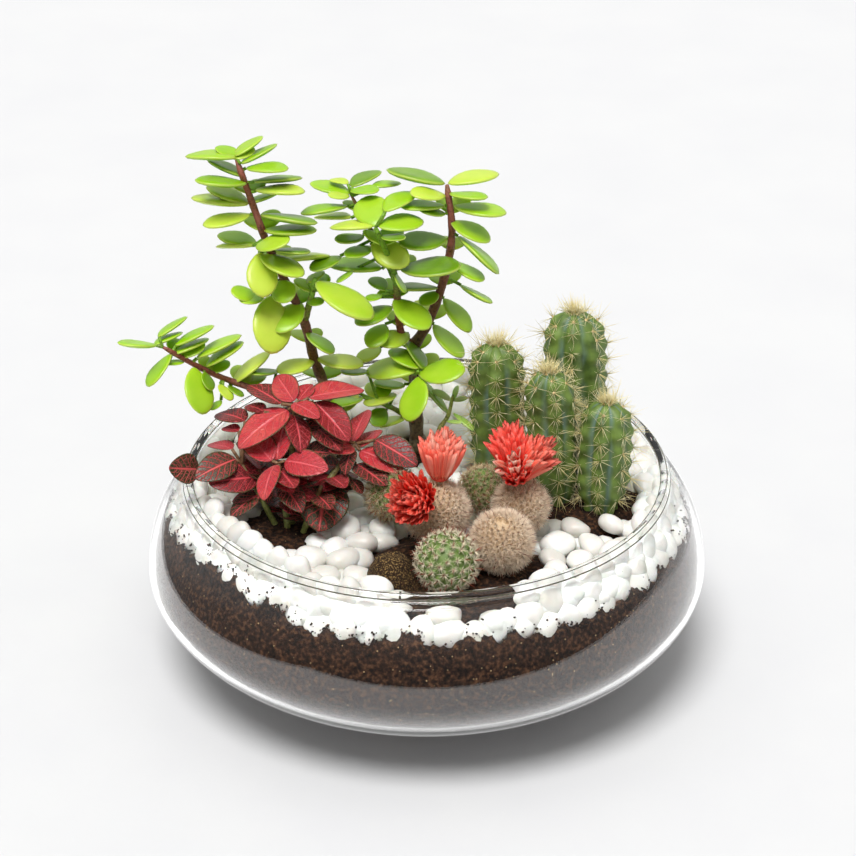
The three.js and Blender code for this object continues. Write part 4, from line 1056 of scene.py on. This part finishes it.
for name, foot, top, radius, first in COLUMNS:
    body_bm = bmesh.new()
    bmesh.ops.create_uvsphere(body_bm, u_segments=COLUMN_AROUND, v_segments=COLUMN_UP, radius=1)
    groove_layer = body_bm.verts.layers.float.new("groove")
    foot_spot, top_spot = Vector(foot), Vector(top)
    lowest = [foot[2] + FIRST_CUSHION + random.uniform(0, CUSHION_PITCH) for rib in range(RIBS)]

    def skin_spot(height, turn, lift=0.0):
        """A point of the skin at a height and a turn."""
        middle = foot_spot.lerp(top_spot, (height - foot[2]) / (top[2] - foot[2]))
        reach = column_radius(height, foot[2], top[2], radius) * rib_share(turn - first) + lift
        return Vector((middle.x + reach * math.cos(turn), middle.y + reach * math.sin(turn), height))

    for vert in body_bm.verts:
        up = 0.5 + math.asin(max(-1, min(1, vert.co.z))) / math.pi
        turn = math.atan2(vert.co.y, vert.co.x)
        height = foot[2] + (top[2] - foot[2]) * (1 - (1 - up) ** 1.7)
        if up < 1e-4:
            vert.co = foot_spot * MM
            continue
        vert[groove_layer] = (1 - rib_share(turn - first)) / RIB_DEEP
        rib = round((turn - first) / (2 * math.pi / RIBS)) % RIBS
        waves = math.cos(2 * math.pi * (height - lowest[rib]) / CUSHION_PITCH)
        lift = SWELLING * waves * (1 - vert[groove_layer]) * (1 - up ** 6)
        vert.co = skin_spot(height, turn, lift) * MM
        vert.co += uneven(vert.co, *SKIN_UNEVEN)
    crown = placed_on((top_spot - Vector((0, 0, CROWN_SUNK))) * MM, Vector((0, 0, 1)))
    add_copy(body_bm, random.choice(crown_tufts), crown)
    for number in range(YOUNG_TUFTS):
        turn = 2 * math.pi * number / YOUNG_TUFTS
        aside = ray(turn)
        spot = top_spot + aside * CROWN_WIDE - Vector((0, 0, 1.0))
        out = (aside * 0.3 + Vector((0, 0, 1))).normalized()
        tuft = random.choice(crown_tufts)
        add_copy(body_bm, tuft, placed_on(spot * MM, out, random.uniform(0.7, 1)))
    for rib in range(RIBS):
        turn = first + 2 * math.pi * rib / RIBS
        height = lowest[rib]
        while height < top[2] - CROWN_SUNK:
            spot = skin_spot(height, turn)
            rise = (spot - skin_spot(height - 1, turn)).normalized()
            out = (ray(turn) - rise * ray(turn).dot(rise)).normalized()
            star = random.choice(column_stars)
            add_copy(body_bm, star, placed_on(spot * MM, out, random.uniform(0.8, 1.1)))
            height += CUSHION_PITCH * (1 if top[2] - height > CROWN_FROM else 0.5)
    place_piece("column_" + name, body_bm, "column_cactus", "column_cactus_" + name,
                column_look, felt_look, straw_look, long_spine_look)


# Pincushion cacti: six round heads pressed together, set with green nipples in crossing spirals.
# Each nipple ends in white felt and a comb of bristles. The front one is green, on two straw
# bristles half cover the skin, and on three dense tan bristles and brown spines hide it.
GOLDEN = math.pi * (3 - math.sqrt(5))
HEAD_LOW = -0.72                # height of the lowest nipples, in radii from the middle
HEADS = [
    # name, middle x y z, radius, where the crown points, nipples, coat: 0 green, 1 half covered, 2 tan
    ("front", (7.5, -70, 79.5), 10.6, (0, -0.7, 0.7), 110, 0),
    ("front_right", (28.3, -60.5, 82.6), 11, (0, -0.35, 0.94), 230, 2),
    ("centre", (3.7, -45.5, 87), 11.6, (0, 0, 1), 230, 2),
    ("left", (-12.8, -30, 86), 9.3, (-0.3, -0.2, 0.93), 140, 1),
    ("right", (36, -38, 85.2), 9.5, (0.1, -0.1, 1), 170, 2),
    ("back", (21.8, -25.5, 84.5), 8.5, (0, 0, 1), 140, 1),
]
COATS = [
    # bristles, central spines, reach, splay, thickness, wool and size of the nipple
    (15, 2, (2.0, 3.0), (0.8, 1.35), 0.19, 0.45, 1.45),
    (16, 2, (1.8, 3.2), (0.6, 1.3), 0.13, 0.4, 1.25),
    (20, 1, (2.2, 3.7), (0.25, 1.05), 0.14, 0.35, 1.0),
]
SUNK = (0.95, 0.92, 0.86)       # share of the radius at which the nipples of a coat stand


def nipple_shape(name, coat):
    """A round nipple that carries felt and a comb of bristles, in millimetres."""
    radial, central, reach, splay, thick, wool, size = coat
    bm = bmesh.new()
    bmesh.ops.create_icosphere(bm, subdivisions=1, radius=size, matrix=Matrix.Diagonal((1, 1, 0.9, 1)))
    star = spine_star(name + "_star", radial, central, reach, splay, thick, wool)
    star.transform(Matrix.Translation((0, 0, 0.85 * size)))
    bm.from_mesh(star)
    return new_shape(bm, name)


head_look = plain_look("nipple_skin", (84, 112, 46), (132, 156, 82), 3, 0.5)
wool_look = plain_look("white_wool", (226, 214, 190), (244, 238, 222), 1, 0.95)
cream_look = plain_look("cream_bristle", (232, 216, 182), (250, 240, 216), 1.5, 0.6)
straw_bristle_look = plain_look("straw_bristle", (196, 172, 128), (232, 212, 176), 2.5, 0.6)
tan_look = plain_look("tan_bristle", (238, 208, 176), (255, 242, 220), 3, 0.6)
hook_look = plain_look("brown_hook", (110, 44, 26), (172, 84, 54), 1.5, 0.5)
brown_look = plain_look("brown_skin", (184, 154, 118), (218, 192, 154), 3, 0.6)
nipples = [[nipple_shape("nipple", coat) for kind in range(3)] for coat in COATS]
for name, middle, radius, crown, count, coat in HEADS:
    middle = Vector(middle)
    stand = Vector(crown).to_track_quat("Z", "Y").to_matrix()
    head_bm = bmesh.new()
    bmesh.ops.create_uvsphere(head_bm, u_segments=32, v_segments=20, radius=radius * SUNK[coat] * MM,
                              matrix=Matrix.Translation(middle * MM))
    for number in range(coat, count):       # the very top of a coated head stays bare
        height = 1 - (1 - HEAD_LOW) * (number + 0.5) / count
        turn = number * GOLDEN
        around = math.sqrt(1 - height * height)
        out = stand @ Vector((around * math.cos(turn), around * math.sin(turn), height))
        size = (0.75 + 0.25 * min(1, around * 1.6)) * random.uniform(0.9, 1.1)      # smaller at the crown
        nipple = random.choice(nipples[coat])
        add_copy(head_bm, nipple, placed_on((middle + out * radius * SUNK[coat]) * MM, out, size))
    skin_look = (head_look, head_look, brown_look)[coat]
    bristle_look = (cream_look, straw_bristle_look, tan_look)[coat]
    slot_name = ("pincushion_green", "pincushion_green", "pincushion_tan")[coat]
    place_piece("pincushion_head_" + name, head_bm, slot_name, "pincushion_" + name,
                skin_look, wool_look, bristle_look, hook_look)


# Strawflowers: three dried flower heads, glued by the foot on two of the cacti. Each is made of
# bunches of stiff narrow papery petals, dyed red or coral with paler tips, on a short rounded foot.
INCURVED, STRAIGHT, CUPPED = 0, 1, 2        # kinds of petal
FLOWERS = [
    # name, head it is glued on, seat from its middle, and bunches of petals:
    # aim, length, widest opening, petals, kind, tint from red over coral to cream
    ("left", "centre", (-0.4, -0.63, 0.67), [
        ((-0.5, -0.72, 0.5), 13.5, 1.15, 110, INCURVED, 0.48),
        ((-0.5, -0.72, 0.5), 10, 0.6, 26, INCURVED, 0.72)]),
    ("centre", "centre", (0.08, 0.15, 1), [((0.08, 0.1, 1), 19, 0.62, 120, CUPPED, 0.74)]),
    ("right", "right", (-0.14, 0.1, 1), [
        ((-0.24, 0.1, 1), 23, 0.27, 80, STRAIGHT, 0.22), ((0.6, -0.05, 0.8), 21, 0.27, 80, STRAIGHT, 0.64),
        ((-0.15, -0.6, 0.8), 14, 0.6, 60, CUPPED, 0.2), ((-0.1, -0.45, 0.9), 17, 0.4, 26, STRAIGHT, 0.97)]),
]
FLOWER_GAP = 0.55
FLOWER_FOOT = (3.9, 3.0)        # radius and half height of the foot
ROOTS_WIDE = 3.8                # how far out the outer petals start
PETAL_BROAD = (2.1, 3.1)
TINT_STRAY = 0.14


def petal_outline(share):
    """Half width of a petal: a narrow strip with a blunt tip."""
    return min(1, 4 * share) ** 0.5 * max(1 - share ** 7, 0) ** 0.5


petal_shapes = [[blade_shape("petal", petal_outline, 0.03, bend, 0.15, 16, 4) for bend in bends]
                for bends in ((-0.3, -0.42, -0.2), (-0.08, 0.0, 0.08), (-0.2, -0.26, -0.14))]
petal_look = new_look("paper_petal", {"Roughness": 0.5, "Subsurface Weight": 0.1,
                                      "Subsurface Scale": 0.002})
tint = stored(petal_look, "tone")
hue = shades(petal_look, tint, (0.0, 252, 34, 30), (0.4, 255, 68, 54), (0.75, 255, 122, 98),
             (1.0, 255, 226, 204))
pale_tip = levels(petal_look, stored(petal_look, "along"), (0.4, 0), (1.0, 0.35))
petal_colour = mixed(petal_look, pale_tip, hue, srgb(255, 140, 118))
shift = worked(petal_look, "MULTIPLY", tint, 40)
streak = worked(petal_look, "MULTIPLY_ADD", stored(petal_look, "across"), 7, shift)
streak = worked(petal_look, "SINE", streak)
streak = worked(petal_look, "MULTIPLY_ADD", streak, 0.5, 0.5)
streaks = levels(petal_look, streak, (0.1, 0.9, 0.82, 0.82), (0.6, 1))
petal_colour = mixed(petal_look, 1.0, petal_colour, streaks, "MULTIPLY")
surface(petal_look, petal_colour, streak, 0.15)
foot_look = plain_look("flower_foot", (200, 40, 34), (226, 84, 66), 2, 0.7)
for name, carrier, seat, bunches in FLOWERS:
    middle, radius = next((Vector(head[1]), head[2]) for head in HEADS if head[0] == carrier)
    up = Vector(seat).normalized()
    seat = middle + up * (radius + FLOWER_GAP)
    foot_wide, foot_high = FLOWER_FOOT
    flower_bm = bmesh.new()
    bmesh.ops.create_uvsphere(flower_bm, u_segments=16, v_segments=8, radius=MM,
                              matrix=Matrix.Translation((seat + up * foot_high) * MM)
                              @ up.to_track_quat("Z", "Y").to_matrix().to_4x4()
                              @ Matrix.Diagonal((foot_wide, foot_wide, foot_high, 1)))
    for face in flower_bm.faces:
        face.material_index = 1
    for aim_at, long, widest, count, kind, colour in bunches:
        upright = Vector(aim_at).normalized()
        stand = upright.to_track_quat("Z", "Y").to_matrix()
        for number in range(count):
            open_share = (number + 0.5) / count
            lean = widest * open_share ** 0.55 * random.uniform(0.85, 1.1)
            turn = number * GOLDEN
            out = stand @ ray(turn)
            way = (upright * math.cos(lean) + out * math.sin(lean)).normalized()
            root = seat + up * 2 + upright * 1.5 * (1 - open_share) + out * ROOTS_WIDE * open_share ** 0.5
            petal = long * (1 - 0.2 * open_share) * random.uniform(0.8, 1.0)
            broad = random.uniform(*PETAL_BROAD) * MM
            placing = placing_of(root * MM, (root + way * petal) * MM, upright - out * 0.3, broad)
            shade = min(1, max(0, colour + random.uniform(-TINT_STRAY, TINT_STRAY)))
            add_copy(flower_bm, random.choice(petal_shapes[kind]), placing, tone=shade)
    slot_name = "dried_petals_coral" if name == "centre" else "dried_petals_red"
    place_piece("dried_flower_" + name, flower_bm, slot_name, "strawflower_" + name, petal_look, foot_look)
